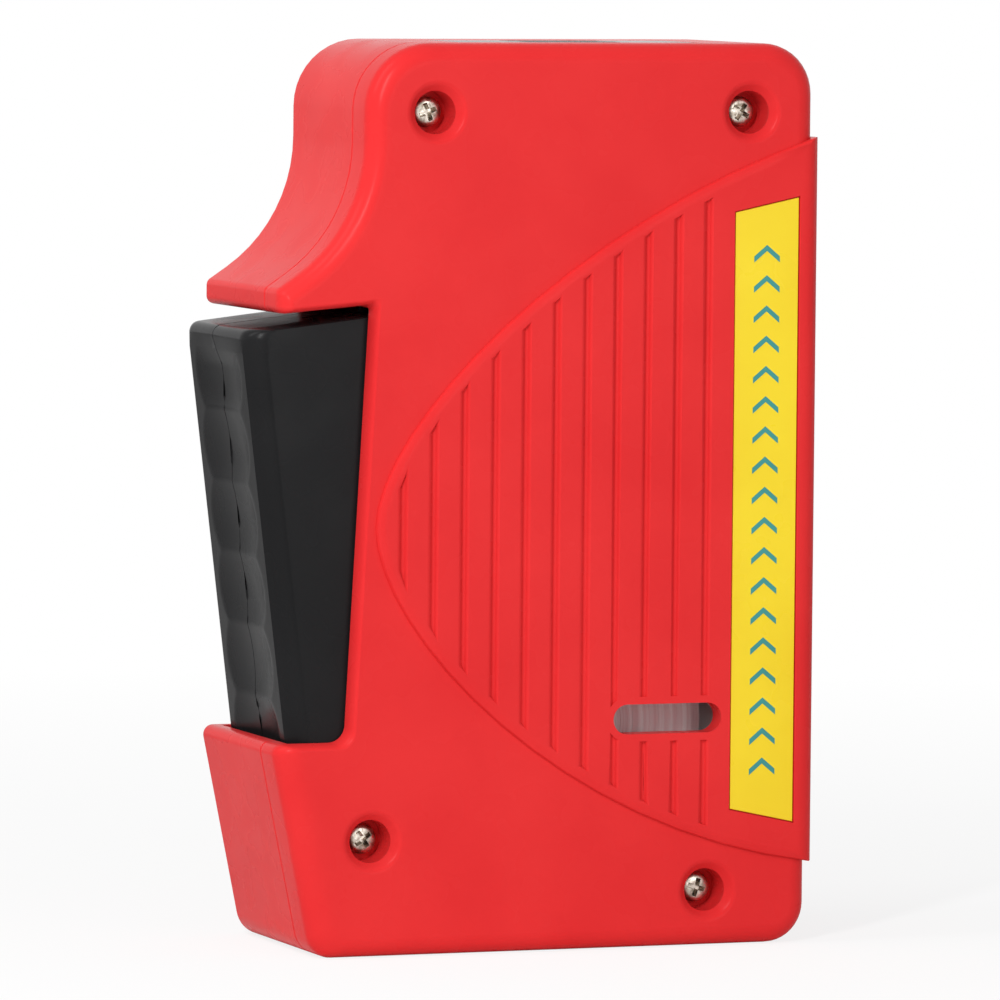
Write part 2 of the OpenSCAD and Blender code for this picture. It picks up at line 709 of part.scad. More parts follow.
module rear_case() color("crimson") difference() {
    union() {
        difference() {
            union() {
                rear_skin(0);
                intersection() {
                    rear_skin(band_t);
                    block([side_x - side_foot_r, 0, arch_foot_z],
                        [side_x + side_foot_r, housing_d + over, arch_top_z]);
                }
            }
            slab(cover_d - over, inner_y) polygon(cavity);
            parting_cut(cover_d - over, cover_d);
        }
        for (c = screw_places) rod(c, rear_boss_r, cover_d, inner_y + wall / 2);
        for (c = roller_places) rod(c, pin_boss_r, flange_y + gap, inner_y + wall / 2);
        for (c = [take_up, supply]) rod(c, post_r, wall + gap, inner_y + wall / 2);
        rod(take_up, post_shoulder_r, shoulder_y, inner_y + wall / 2);
        rod(supply, supply_shoulder_r, supply_shoulder_y, inner_y + wall / 2);
        rod(anti_pawl_place, pawl_pin_r, pawl_y, inner_y + wall / 2);
        rod(anti_pawl_place, pawl_eye_r, carrier_y, inner_y + wall / 2);
        rod(pivot, pivot_boss_r, lever_y + lever_d + lever_side_gap, inner_y + wall / 2);
        for (x = rear_rails) shutter_rail([shutter_y1 + layer_gap, shutter_y1 + rail_rib_t],
            [shutter_y1 - rail_lap, shutter_y1 + rail_rib_t], x[0], x[1]);
    }
    slab(cover_d - over, housing_d - recess_rim) polygon(lever_slot);
    for (c = screw_places) rod(c, screw_d / 2 + run, cover_d - over, bore_depth + screw_l + pilot_spare);
    for (c = roller_places) rod(c, roller_pin_d / 2 + run, flange_y, roller_pin_y + roller_pin_l);
    rod(pivot, pin_d / 2 + run, lever_y + lever_d, housing_d - pivot_pin_y);
    plate_cut(plate_slip, over);
}
// The stepped outline of the window plate, also cut in the top wall
module plate_cut(slip, past) {
    half = plate_l / 2 + slip;
    y0 = head_y0 - 2 * slip;
    block([head_x - half, y0, housing_h - plate_t - past], [head_x + half, head_y1 + slip, housing_h + past]);
    block([head_x - half - plate_rebate, y0, housing_h - plate_t - past],
        [head_x + half + plate_rebate, head_y1 + slip, housing_h - plate_t / 2 + slip]);
}

module label_plate() color("gold")
    slab(label_recess - label_t - panel_t, label_recess - panel_t) polygon(label_corners);

module housing_screws() color("silver") for (c = screw_places) difference() {
    union() {
        cone(c, screw_head_d / 2 - screw_head_h / 3, screw_head_d / 2,
            bore_depth - screw_head_h, bore_depth - 2 * screw_head_h / 3);
        rod(c, screw_head_d / 2, bore_depth - 2 * screw_head_h / 3, bore_depth);
        rod(c, screw_d / 2, bore_depth - screw_head_h / 2, bore_depth + screw_l);
    }
    for (size = [[cross_l, cross_w], [cross_w, cross_l]])
        block([c[0] - size[0] / 2, bore_depth - screw_head_h - over, c[1] - size[1] / 2],
            [c[0] + size[0] / 2, bore_depth - screw_head_h + cross_depth, c[1] + size[1] / 2]);
}

module window_pane() color("white", 0.3)
    block([view[0] - view_l / 2 - pane_margin, wall, view[1] - view_h / 2 - pane_side_margin],
        [view[0] + view_l / 2 + pane_margin, wall + pane_t, view[1] + view_h / 2 + pane_side_margin]);

// Depth of the finger rests, at a share of the way down the grip and a distance from the front
function finger_dip(t, y) = let (
    part = scallop_n * t - floor(scallop_n * t), aside = (y - lever_mid_y) / finger_w)
    max(-finger_crown * sin(180 * t), scallop_t * min(1, finger_fade * t, finger_fade * (1 - t))
        * (4 * part * (1 - part) + finger_trough - aside * aside) / (1 + finger_trough));
// The lever's outline at one depth and share of the soft edge
function lever_ring(share, y) = let (
    foot_r = mix(lever_foot_r - gap, lever_foot_r / 2, share),
    base = rounded(inset_corners(lever_corners,
        [lever_edge * share / 4, 0, lever_edge * share / 6, lever_edge * share]),
        [foot_r, foot_r, lever_inner_r, lever_top_r], corner_steps),
    top = base[len(base) - 1], foot = base[0], n = scallop_steps * scallop_n)
    concat(base, [for (i = [1:n - 1]) let (t = i / n)
        mix(top, foot, t) + finger_dip(t, y) * turn(unit(foot - top))]);
// Depths from the lever's side face to the seam, with the share of the soft edge at each.
// Both ends run past the faces, which are cut flat.
function lever_levels(y, way) = concat([[y - way * lever_seam, 1]],
    [for (i = [1:edge_steps]) [y + way * lever_edge * (1 - cos(90 * i / edge_steps)),
        1 - sin(90 * i / edge_steps)]],
    [for (i = [1:lever_bands]) let (y1 = y + way * lever_edge)
        [y1 + (lever_mid_y - way * lever_seam - y1) * i / lever_bands, 0]],
    [[lever_mid_y + way * lever_seam, 2 * lever_seam / lever_edge]]);
module lever_skin(y, way) {
    levels = lever_levels(y, way);
    ordered = way > 0 ? levels : [for (i = [len(levels) - 1:-1:0]) levels[i]];
    intersection() {
        loft([for (v = ordered) v[0]], [for (v = ordered) lever_ring(v[1], v[0])]);
        block([-2 * foot_w, min(y, lever_mid_y), 0], [0, max(y, lever_mid_y), housing_h]);
    }
}
module lever_hollow() {
    slab(lever_y + lever_wall, lever_y + lever_d - lever_wall)
        polygon(inset_corners(lever_corners, [-lever_wall, -lever_wall, lever_wall, lever_wall]));
}
// The flat face round the pin's hole
module lever_cheek(y0, y1) {
    block([pivot[0] - cheek_half, y0, pivot[1] - cheek_half],
        [pivot[0] + cheek_half, y1, pivot[1] + cheek_half]);
}
module lever_front_half() color("dimgray") difference() {
    union() {
        difference() {
            lever_skin(lever_y, 1);
            lever_hollow();
        }
        rod(pivot, lever_hub_r, lever_y + lever_wall / 2, spring_y - spring_wire);
        lever_cheek(lever_y - cheek_t, lever_y + lever_wall);
    }
    rod(pivot, pin_d / 2 + run, lever_y - over, housing_d);
}
module lever_rear_half() color("dimgray") difference() {
    union() {
        difference() {
            lever_skin(lever_y + lever_d, -1);
            lever_hollow();
        }
        rod(pivot, lever_hub_r, arm_back, lever_y + lever_d - lever_wall / 2);
        lever_cheek(lever_y + lever_d - lever_wall, lever_y + lever_d + cheek_t);
        for (c = arm_pegs) {
            rod(c, peg_r, arm_y - layer_gap, lever_y + lever_d - lever_wall / 2);
            rod(c, lever_hub_r, arm_back, lever_y + lever_d - lever_wall / 2);
        }
    }
    rod(pivot, pin_d / 2 + run, 0, lever_y + lever_d + over);
}
module lever_pivot_pin() color("lightsteelblue")
    rod(pivot, pin_d / 2, pivot_pin_y + gap / 4, housing_d - pivot_pin_y - gap / 4);

// The return spring's wire: a leg on the lever, the coil and a leg on the housing
spring_points = concat(
    [[spring_leg_x, spring_y, pivot[1] + spring_leg],
        [(spring_leg_x + pivot[0] - spring_r) / 2, spring_y, pivot[1] + spring_leg / 2]],
    [for (i = [0:spring_steps * spring_turns]) let (a = 180 + 360 * i / spring_steps)
        [pivot[0] + spring_r * cos(a), spring_y + spring_pitch * i / spring_steps,
            pivot[1] + spring_r * sin(a)]],
    [[pivot[0] - spring_r, spring_y + spring_pitch * spring_turns, pivot[1] - spring_leg / 2],
        [pivot[0] - spring_r, spring_y + spring_pitch * spring_turns, pivot[1] - spring_leg]]);
function cross_unit(a, b) = let (c = cross(a, b)) c / norm(c);
module tube(points, r, sides) {
    last = len(points) - 1;
    rings = [for (i = [0:last]) let (
        way = points[min(i + 1, last)] - points[max(i - 1, 0)],
        side = cross_unit(way, [0, 1, 0]), up = cross_unit(side, way))
        each [for (j = [0:sides - 1])
            points[i] - [0, mid_y, 0] + r * (cos(360 * j / sides) * side + sin(360 * j / sides) * up)]];
    polyhedron(points = rings,
        faces = concat([[for (j = [0:sides - 1]) j]],
            [[for (j = [sides - 1:-1:0]) last * sides + j]],
            [for (i = [0:last - 1]) for (j = [0:sides - 1]) let (k = (j + 1) % sides)
                each [[i * sides + j, (i + 1) * sides + j, (i + 1) * sides + k],
                    [i * sides + j, (i + 1) * sides + k, i * sides + k]]]),
        convexity = 12);
}
module lever_return_spring() color("silver") tube(spring_points, spring_wire / 2, 6);

// Involute teeth: half a tooth's angle at a radius, and one tooth's points
function involute(a) = tan(a) * 180 / PI - a;
function half_tooth(r, teeth) = let (base = tooth_size * teeth / 2 * cos(pressure_angle))
    90 / teeth * (1 - backlash_share) + involute(pressure_angle)
    - involute(acos(min(1, base / r)));
function tooth(teeth, a) = let (pitch_r = tooth_size * teeth / 2, root = pitch_r - dedendum_share * tooth_size,
    low = max(root, pitch_r * cos(pressure_angle)), tip = pitch_r + addendum_share * tooth_size,
    radii = concat(low > root ? [root] : [], [for (i = [0:flank_steps]) mix(low, tip, i / flank_steps)]),
    angles = [for (r = radii) half_tooth(max(r, low), teeth)], n = len(radii) - 1)
    concat([for (i = [0:n]) polar(radii[i], a - angles[i])],
        [for (i = [n:-1:0]) polar(radii[i], a + angles[i])]);
function shifted(points, c) = [for (p = points) p + c];

// The arm: hub, toothed sector, stem with the shutter's fork, and tab on the lever
module spoke(a, r0, r1, half) {
    translate(pivot) rotate(a) translate([r0, -half]) square([r1 - r0, 2 * half]);
}
module drive_arm() color("darkgray") {
    pitch_a = 360 / sector_teeth;
    first = -ceil(sector_spare);
    last = ceil(lever_stroke / pitch_a + sector_spare);
    a0 = drive_angle + pitch_a * (first - 0.5);
    a1 = drive_angle + pitch_a * (last + 0.5);
    root = tooth_size * sector_teeth / 2 - dedendum_share * tooth_size;
    slot_r0 = norm(pin_way) - pin_r - fork_play;
    slot_half = pin_r + fork_play;
    difference() {
        union() {
            slab(arm_y, arm_back) difference() {
                union() {
                    polygon(shifted(concat([polar(root, a0)],
                        [for (k = [first:last])
                            each tooth(sector_teeth, drive_angle + pitch_a * k)],
                        [polar(root, a1)],
                        around([0, 0], root - sector_rim, a1, a0, corner_steps)), pivot));
                    translate(pivot) circle(arm_hub_r);
                    spoke(a0 + pitch_a, 0, root - sector_rim / 2, arm_rib);
                    spoke(a1 - pitch_a, 0, root - sector_rim / 2, arm_rib);
                    spoke(90 - fork_angle, 0, fork_r[0] + over, stem_half);
                    spoke(90 - fork_angle, fork_r[0], fork_r[1], fork_half);
                    polygon([pivot - [stem_half, 0], pivot + [stem_half, 0],
                        arm_pegs[1] + [stem_half, stem_half],
                        arm_pegs[1] + [-stem_half, stem_half]]);
                }
                spoke(90 - fork_angle, slot_r0, fork_r[1] + over, slot_half);
                for (c = arm_pegs) translate(c) circle(peg_r + run);
            }
            rod(pivot, lever_hub_r, arm_tube_y, arm_y + arm_t / 2);
        }
        rod(pivot, pin_d / 2 + run, 0, housing_d);
    }
}

module drive_gear() color("gainsboro") difference() {
    union() {
        rod(take_up, carrier_r, carrier_y, carrier_y + carrier_t);
        slab(carrier_y + carrier_t / 2, arm_back) polygon(shifted(
            [for (k = [0:gear_teeth - 1])
                each tooth(gear_teeth, drive_angle + 180 + (k + 0.5) * 360 / gear_teeth)], take_up));
        rod(drive_pawl_place, pawl_pin_r, pawl_y, carrier_y + carrier_t / 2);
    }
    rod(take_up, post_r + run, 0, housing_d);
}
// A pawl that curves from its eye to a tip just off the ratchet's teeth
module pawl(place, place_a, place_r, tip_a) {
    tip_r = ratchet_r + pawl_lift;
    n = corner_steps;
    difference() {
        union() {
            rod(place, pawl_eye_r, pawl_y, ratchet_back);
            slab(pawl_y, ratchet_back) polygon(shifted(concat(
                [for (i = [0:n]) polar(mix(place_r - pawl_half, tip_r, i / n), mix(place_a, tip_a, i / n))],
                [for (i = [n:-1:0]) polar(mix(place_r + pawl_half, tip_r + pawl_tip_t, i / n),
                    mix(place_a, tip_a, i / n))]), take_up));
        }
        rod(place, pawl_pin_r + run, pawl_y - over, ratchet_back + over);
    }
}
module drive_pawl() color("slategray")
    pawl(drive_pawl_place, drive_pawl_a, drive_pawl_r, drive_tip_a);
module anti_reverse_pawl() color("slategray")
    pawl(anti_pawl_place, anti_pawl_a, anti_pawl_r, anti_tip_a);

module ratchet_wheel() color("gainsboro") difference() {
    slab(ratchet_y, ratchet_back) polygon(shifted([for (k = [0:ratchet_teeth - 1])
        let (a = anti_tip_a + pawl_reach + k * ratchet_pitch)
        each [polar(ratchet_r - tooth_h, a), polar(ratchet_r, a)]], take_up));
    rod(take_up, key_hub_r + run, ratchet_y - over, ratchet_back + over);
    for (a = [0, 90]) translate([take_up[0], 0, take_up[1]]) rotate([0, a, 0])
        block([-key_hub_r - key_h - run, ratchet_y - over, -key_w / 2 - run],
            [key_hub_r + key_h + run, ratchet_back + over, key_w / 2 + run]);
}

// A flange with round windows between its hub and rim
module flange(c, r, y0) {
    difference() {
        rod(c, r, y0, y0 + flange_t);
        for (i = [0:flange_holes - 1])
            rod(c + polar((hub_r + r) / 2, 360 * (i + 0.5) / flange_holes), (r - hub_r) / 4,
                y0 - over, y0 + flange_t + over);
    }
}
module take_up_spool() color("dimgray") difference() {
    union() {
        flange(take_up, take_up_flange_r, spool_y - flange_t);
        rod(take_up, hub_r, spool_y - flange_t, flange_y + flange_t);
        flange(take_up, take_up_flange_r, flange_y);
        rod(take_up, key_hub_r, flange_y, ratchet_back);
        for (a = [0, 90]) translate([take_up[0], 0, take_up[1]]) rotate([0, a, 0])
            block([-key_hub_r - key_h, flange_y, -key_w / 2],
                [key_hub_r + key_h, ratchet_back, key_w / 2]);
    }
    rod(take_up, post_r + run, 0, housing_d);
}
module take_up_winding() color("white")
    ring(take_up, hub_r + run, winding_r, tape_y, tape_y + tape_w);
module supply_spool() color("dimgray") difference() {
    union() {
        rod(supply, hub_r, spool_y, flange_y + flange_t);
        flange(supply, supply_flange_r, flange_y);
    }
    rod(supply, post_r + run, 0, housing_d);
}
module supply_tape_roll() color("white")
    ring(supply, hub_r + run, roll_r, tape_y, tape_y + tape_w);
module supply_brake_ring() color("dimgray")
    ring(supply, post_r + 2 * layer_gap, supply_shoulder_r - 1.5 * layer_gap,
        flange_y + flange_t + layer_gap, supply_shoulder_y);

module guide_roller(c)
    ring(c, roller_pin_d / 2 + run, roller_r, tape_y - gap, tape_y + tape_w + gap);
module guide_roller_lower() color("gainsboro") guide_roller(roller_lower);
module guide_roller_right() color("gainsboro") guide_roller(roller_right);
module guide_roller_left() color("gainsboro") guide_roller(roller_left);
module roller_pins() color("silver") for (c = roller_places)
    rod(c, roller_pin_d / 2, roller_pin_y + gap / 2, roller_pin_y + roller_pin_l - gap / 2);

// The free tape runs round these circles, each [centre, radius], always anticlockwise
tape_circles = [[supply, roll_r + layer_gap], [roller_lower, roller_r + layer_gap],
    [roller_right, roller_r + layer_gap],
    [[head_x + pad_w / 2 - pad_end_r, tape_z - pad_end_r], pad_end_r],
    [[head_x - pad_w / 2 + pad_end_r, tape_z - pad_end_r], pad_end_r],
    [roller_left, roller_r + layer_gap], [take_up, winding_r + layer_gap]];
// Direction from both centres to the points where the tape leaves one circle and meets the next
function leave(a, b) = let (way = unit(b[0] - a[0]), s = (a[1] - b[1]) / norm(b[0] - a[0]))
    [way[1], -way[0]] * sqrt(1 - s * s) + way * s;
function angle_of(v) = atan2(v[1], v[0]);
function tape_line(out) = let (n = len(tape_circles) - 1) concat(
    [tape_circles[0][0] + (tape_circles[0][1] + out) * leave(tape_circles[0], tape_circles[1])],
    [for (i = [1:n - 1]) let (c = tape_circles[i], a0 = angle_of(leave(tape_circles[i - 1], c)),
        a1 = angle_of(leave(c, tape_circles[i + 1])))
        each around(c[0], c[1] + out, a0, a0 + positive(a1 - a0), tape_bend_steps)],
    [tape_circles[n][0] + (tape_circles[n][1] + out) * leave(tape_circles[n - 1], tape_circles[n])]);
module tape_web() color("white") {
    inside = tape_line(0);
    outside = tape_line(tape_t);
    slab(tape_y, tape_y + tape_w)
        polygon(concat(inside, [for (i = [len(outside) - 1:-1:0]) outside[i]]));
}

module cleaning_pad() color("black") {
    z0 = tape_z - pad_t;
    c0 = [head_x - pad_w / 2 + pad_end_r, tape_z - pad_end_r];
    c1 = [head_x + pad_w / 2 - pad_end_r, tape_z - pad_end_r];
    y0 = tape_mid_y - pad_depth / 2;
    y1 = tape_mid_y + pad_depth / 2;
    rod(c0, pad_end_r, y0, y1);
    rod(c1, pad_end_r, y0, y1);
    block([c0[0], y0, z0], [c1[0], y1, tape_z]);
    block([c0[0] - pad_end_r, y0, z0], [c1[0] + pad_end_r, y1, tape_z - pad_end_r]);
}
module pad_carrier() color("lightgray") {
    z1 = tape_z - pad_t;
    y0 = tape_mid_y - pad_depth / 2;
    y1 = tape_mid_y + pad_depth / 2;
    block([head_x - pad_w / 2, y0, z1 - carrier_top_t], [head_x + pad_w / 2, y1, z1]);
    for (side = [-1, 1])
        block([head_x + side * (pad_w / 2 - carrier_rib_t / 2) - carrier_rib_t / 2, y0, z1 - carrier_h],
            [head_x + side * (pad_w / 2 - carrier_rib_t / 2) + carrier_rib_t / 2, y1,
                z1 - carrier_top_t / 2]);
    block([head_x - pad_w / 2, y1 - carrier_rib_t, z1 - carrier_h],
        [head_x + pad_w / 2, y1, z1 - carrier_top_t / 2]);
    block([carrier_bar_x, y1 - carrier_rib_t / 2, z1 - carrier_h + rail_t],
        [carrier_bar_x + carrier_bar_w, inner_y, z1]);
}

module shutter() color("darkslategray") {
    z0 = shutter_z;
    z1 = shutter_z + shutter_t;
    slot_half = slot_w / 2 + layer_gap / 3;
    difference() {
        block([shutter_x0, shutter_y0, z0], [shutter_x1, shutter_y1, z1]);
        for (side = [-1, 1])
            block([aperture_x0, tape_mid_y + side * slot_pitch / 2 - slot_half, z0 - over],
                [aperture_x1, tape_mid_y + side * slot_pitch / 2 + slot_half, z1 + over]);
    }
    block([drive_pin[0] - leg_w, shutter_y1 - gap, z0], [drive_pin[0] + leg_w, leg_y + leg_t, z1]);
    block([drive_pin[0] - leg_w / 2, leg_y, drive_pin[1] - leg_w / 2],
        [drive_pin[0] + leg_w / 2, leg_y + leg_t, z1]);
    rod(drive_pin, pin_r, arm_y - layer_gap, leg_y + leg_t / 2);
}
module window_plate() color("black") difference() {
    plate_cut(0, 0);
    for (side = [-1, 1]) translate([head_x, tape_mid_y + side * slot_pitch / 2, 0])
        block([-slot_l / 2, -slot_w / 2, housing_h - plate_t - over],
            [slot_l / 2, slot_w / 2, housing_h + over]);
}

front_cover();
rear_case();
label_plate();
housing_screws();
window_pane();
lever_front_half();
lever_rear_half();
lever_pivot_pin();
lever_return_spring();
drive_arm();
drive_gear();
drive_pawl();
ratchet_wheel();
anti_reverse_pawl();
take_up_spool();
take_up_winding();
supply_spool();
supply_tape_roll();
supply_brake_ring();
guide_roller_left();
guide_roller_right();
guide_roller_lower();
roller_pins();
tape_web();
pad_carrier();
cleaning_pad();
shutter();
window_plate();
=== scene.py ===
# Looks of the hand-held cleaning cassette: satin red shells, black squeeze lever, yellow
# label, nickel screws, and the wound tape behind its window. Lengths are in millimetres, apart
# from those noted as metres, and depths count from the front face towards the back.
import json
import math
import random

import bmesh
import bpy
from mathutils import Matrix, Vector


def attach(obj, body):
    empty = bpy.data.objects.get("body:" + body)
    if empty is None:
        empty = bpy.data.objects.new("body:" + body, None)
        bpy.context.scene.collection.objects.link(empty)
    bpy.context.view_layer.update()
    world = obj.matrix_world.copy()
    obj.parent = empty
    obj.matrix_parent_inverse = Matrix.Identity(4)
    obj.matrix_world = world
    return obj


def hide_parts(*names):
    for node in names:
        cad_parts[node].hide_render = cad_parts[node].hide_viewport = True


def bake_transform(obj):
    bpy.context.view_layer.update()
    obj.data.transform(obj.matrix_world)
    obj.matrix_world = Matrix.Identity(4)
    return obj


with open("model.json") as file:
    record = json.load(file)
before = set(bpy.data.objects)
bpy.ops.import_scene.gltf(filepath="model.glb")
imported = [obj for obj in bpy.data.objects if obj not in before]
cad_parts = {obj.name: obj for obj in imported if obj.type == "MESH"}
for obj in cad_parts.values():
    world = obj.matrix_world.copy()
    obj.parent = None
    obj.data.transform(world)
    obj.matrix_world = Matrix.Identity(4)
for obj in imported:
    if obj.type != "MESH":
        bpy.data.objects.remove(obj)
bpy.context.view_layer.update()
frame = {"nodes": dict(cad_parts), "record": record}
slot_of = {part["node"]: part["material_slot"] for part in frame["record"]["subparts"]}

MM = 0.001                  # one millimetre in the scene's metres
HALF_DEPTH = 18.0           # from the front face to the frame's middle plane
CAD_MERGE = 0.000002        # metres within which a CAD mesh's loose corners are joined
TURNED_MERGE = 0.000004     # the same on a turned piece, at its axis and where it closes
FLAT_FOLD = 0.3             # degrees under which neighbouring faces count as one flat
WHOLE_TURN = 2 * math.pi


def at(x, depth, z):
    """The place in metres of a point given across, in depth and in height."""
    return Vector((x, depth - HALF_DEPTH, z)) * MM


def depth_of(co):
    return co.y / MM + HALF_DEPTH


# ---------------------------------------------------------------- selection and edit mode

def take(piece):
    """Makes the piece the only one selected."""
    for other in list(bpy.context.selected_objects):
        other.select_set(False)
    piece.select_set(True)
    bpy.context.view_layer.objects.active = piece


def open_edit(piece, kind="VERT"):
    take(piece)
    bpy.ops.object.mode_set(mode="EDIT")
    bpy.ops.mesh.select_mode(type=kind)


def close_edit():
    bpy.ops.object.mode_set(mode="OBJECT")


def choose(piece, kind, wanted):
    """Selects what passes the test in a piece in edit mode, and says how many did."""
    bpy.ops.mesh.select_mode(type=kind)
    bpy.ops.mesh.select_all(action="DESELECT")
    mesh = bmesh.from_edit_mesh(piece.data)
    kinds = {"VERT": mesh.verts, "EDGE": mesh.edges, "FACE": mesh.faces}
    chosen = [item for item in kinds[kind] if wanted(item)]
    for item in chosen:
        item.select_set(True)
    bmesh.update_edit_mesh(piece.data)
    return len(chosen)


def fold(edge):
    """Angle in degrees between the two faces of an edge."""
    if len(edge.link_faces) != 2:
        return 0.0
    return math.degrees(edge.link_faces[0].normal.angle(edge.link_faces[1].normal, 0.0))


def middle_of(edge):
    return (edge.verts[0].co + edge.verts[1].co) / 2 / MM


def lies_at(edge, level, slack):
    """Whether an edge runs level, neither forwards nor back, within the slack of a depth."""
    a, b = (depth_of(vertex.co) for vertex in edge.verts)
    return abs(a - b) < 0.01 and abs((a + b) / 2 - level) < slack


# ---------------------------------------------------------------- making and finishing meshes

def round_over(piece, wanted, width, segments):
    """Rounds the chosen edges of a piece by a width."""
    open_edit(piece, "EDGE")
    if choose(piece, "EDGE", wanted):
        bpy.ops.mesh.bevel(offset=width * MM, offset_type="OFFSET", segments=segments,
                           profile=0.5, affect="EDGES", clamp_overlap=False)
    close_edit()


def use_modifier(piece, kind, **settings):
    take(piece)
    modifier = piece.modifiers.new(kind.lower(), kind)
    for key, value in settings.items():
        setattr(modifier, key, value)
    bpy.ops.object.modifier_apply(modifier=modifier.name)


def smooth(piece, degrees=32):
    """Shades the piece smooth, apart from edges that fold more than the angle."""
    take(piece)
    bpy.ops.object.shade_smooth_by_angle(angle=math.radians(degrees))
    use_modifier(piece, "WEIGHTED_NORMAL", mode="FACE_AREA", weight=60, keep_sharp=True)


def settle(piece, body, material, stands_for=()):
    """Leaves the piece at the origin with its place in its mesh, dressed and riding. A piece
    between two bodies is given none here."""
    take(piece)
    bpy.ops.object.transform_apply(location=True, rotation=True, scale=True)
    piece.data.materials.clear()
    piece.data.materials.append(material)
    if body:
        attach(piece, body)
    if stands_for:
        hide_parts(*stands_for)


def clean_copy(node, name, flats=True):
    """A merged copy of a CAD node's mesh, with its flat faces joined up again."""
    mesh = frame["nodes"][node].data.copy()
    piece = bpy.data.objects.new(name, mesh)
    bpy.context.scene.collection.objects.link(piece)
    take(piece)
    if mesh.has_custom_normals:
        bpy.ops.mesh.customdata_custom_splitnormals_clear()
    open_edit(piece)
    bpy.ops.mesh.select_all(action="SELECT")
    bpy.ops.mesh.remove_doubles(threshold=CAD_MERGE)
    if flats:
        bpy.ops.mesh.dissolve_limited(angle_limit=math.radians(FLAT_FOLD))
    close_edit()
    return piece


def draw_line(name, points):
    """Extrudes one vertex from point to point. The piece stays in edit mode, all selected."""
    bpy.ops.object.select_all(action="DESELECT")
    bpy.ops.mesh.primitive_plane_add(size=0.001, location=points[0])
    piece = bpy.context.object
    piece.name = name
    bpy.ops.object.transform_apply(location=True)
    open_edit(piece)
    bpy.ops.mesh.select_all(action="SELECT")
    bpy.ops.mesh.merge(type="CENTER")
    for here, there in zip(points, points[1:]):
        bpy.ops.mesh.extrude_vertices_move(
            TRANSFORM_OT_translate={"value": tuple(there - here)})
    bpy.ops.mesh.select_all(action="SELECT")
    return piece


def turned(name, centre, profile, steps):
    """A turned piece: a profile of (radius, depth) pairs, spun round an axis in depth. It ends
    where it starts, or both its ends are on the axis."""
    x, z = centre
    piece = draw_line(name, [at(x + radius, depth, z) for radius, depth in profile])
    bpy.ops.mesh.spin(steps=steps, angle=WHOLE_TURN, center=at(x, 0, z), axis=(0, 1, 0),
                      use_auto_merge=False)
    bpy.ops.mesh.select_all(action="SELECT")
    bpy.ops.mesh.remove_doubles(threshold=TURNED_MERGE)
    bpy.ops.mesh.normals_make_consistent(inside=False)
    close_edit()
    return piece


def slab(name, low, high):
    """A block between two corners, given as (x, depth, z)."""
    a, b = at(*low), at(*high)
    bpy.ops.object.select_all(action="DESELECT")
    bpy.ops.mesh.primitive_cube_add(size=1, location=(a + b) / 2)
    piece = bpy.context.object
    piece.name = name
    piece.scale = b - a
    bpy.ops.object.transform_apply(location=True, rotation=True, scale=True)
    return piece


# ---------------------------------------------------------------- node trees

def add_node(tree, kind, **sockets):
    """A new node, with the sockets named here set to a value or joined to an output."""
    node = tree.nodes.new("ShaderNode" + kind)
    fill_sockets(tree, node, **sockets)
    return node


def fill_sockets(tree, node, **sockets):
    for key, value in sockets.items():
        socket = node.inputs[key.replace("_", " ")]
        if isinstance(value, bpy.types.NodeSocket):
            tree.links.new(value, socket)
        else:
            socket.default_value = value


def joined(tree, operation, first, second):
    """The outcome of a sum on two outputs."""
    node = add_node(tree, "Math")
    node.operation = operation
    tree.links.new(first, node.inputs[0])
    tree.links.new(second, node.inputs[1])
    return node.outputs[0]


def shared_out(tree, share, first, second):
    """A mix of two shaders, all of the second where the share is 1."""
    mix = add_node(tree, "MixShader")
    for output, socket in zip((share, first, second), mix.inputs):
        tree.links.new(output, socket)
    return mix.outputs[0]


# ---------------------------------------------------------------- finishes

PER_METRE = 1000.0          # over a size in millimetres this gives a texture's scale
WAVE = 6.2832               # and over this too, a wave's light or dark band is of that size


def linear(r, g, b):
    """A screen colour, 0 to 255, as the shader's linear colour."""
    def one(c):
        c /= 255
        return c / 12.92 if c <= 0.04045 else ((c + 0.055) / 1.055) ** 2.4
    return (one(r), one(g), one(b), 1.0)


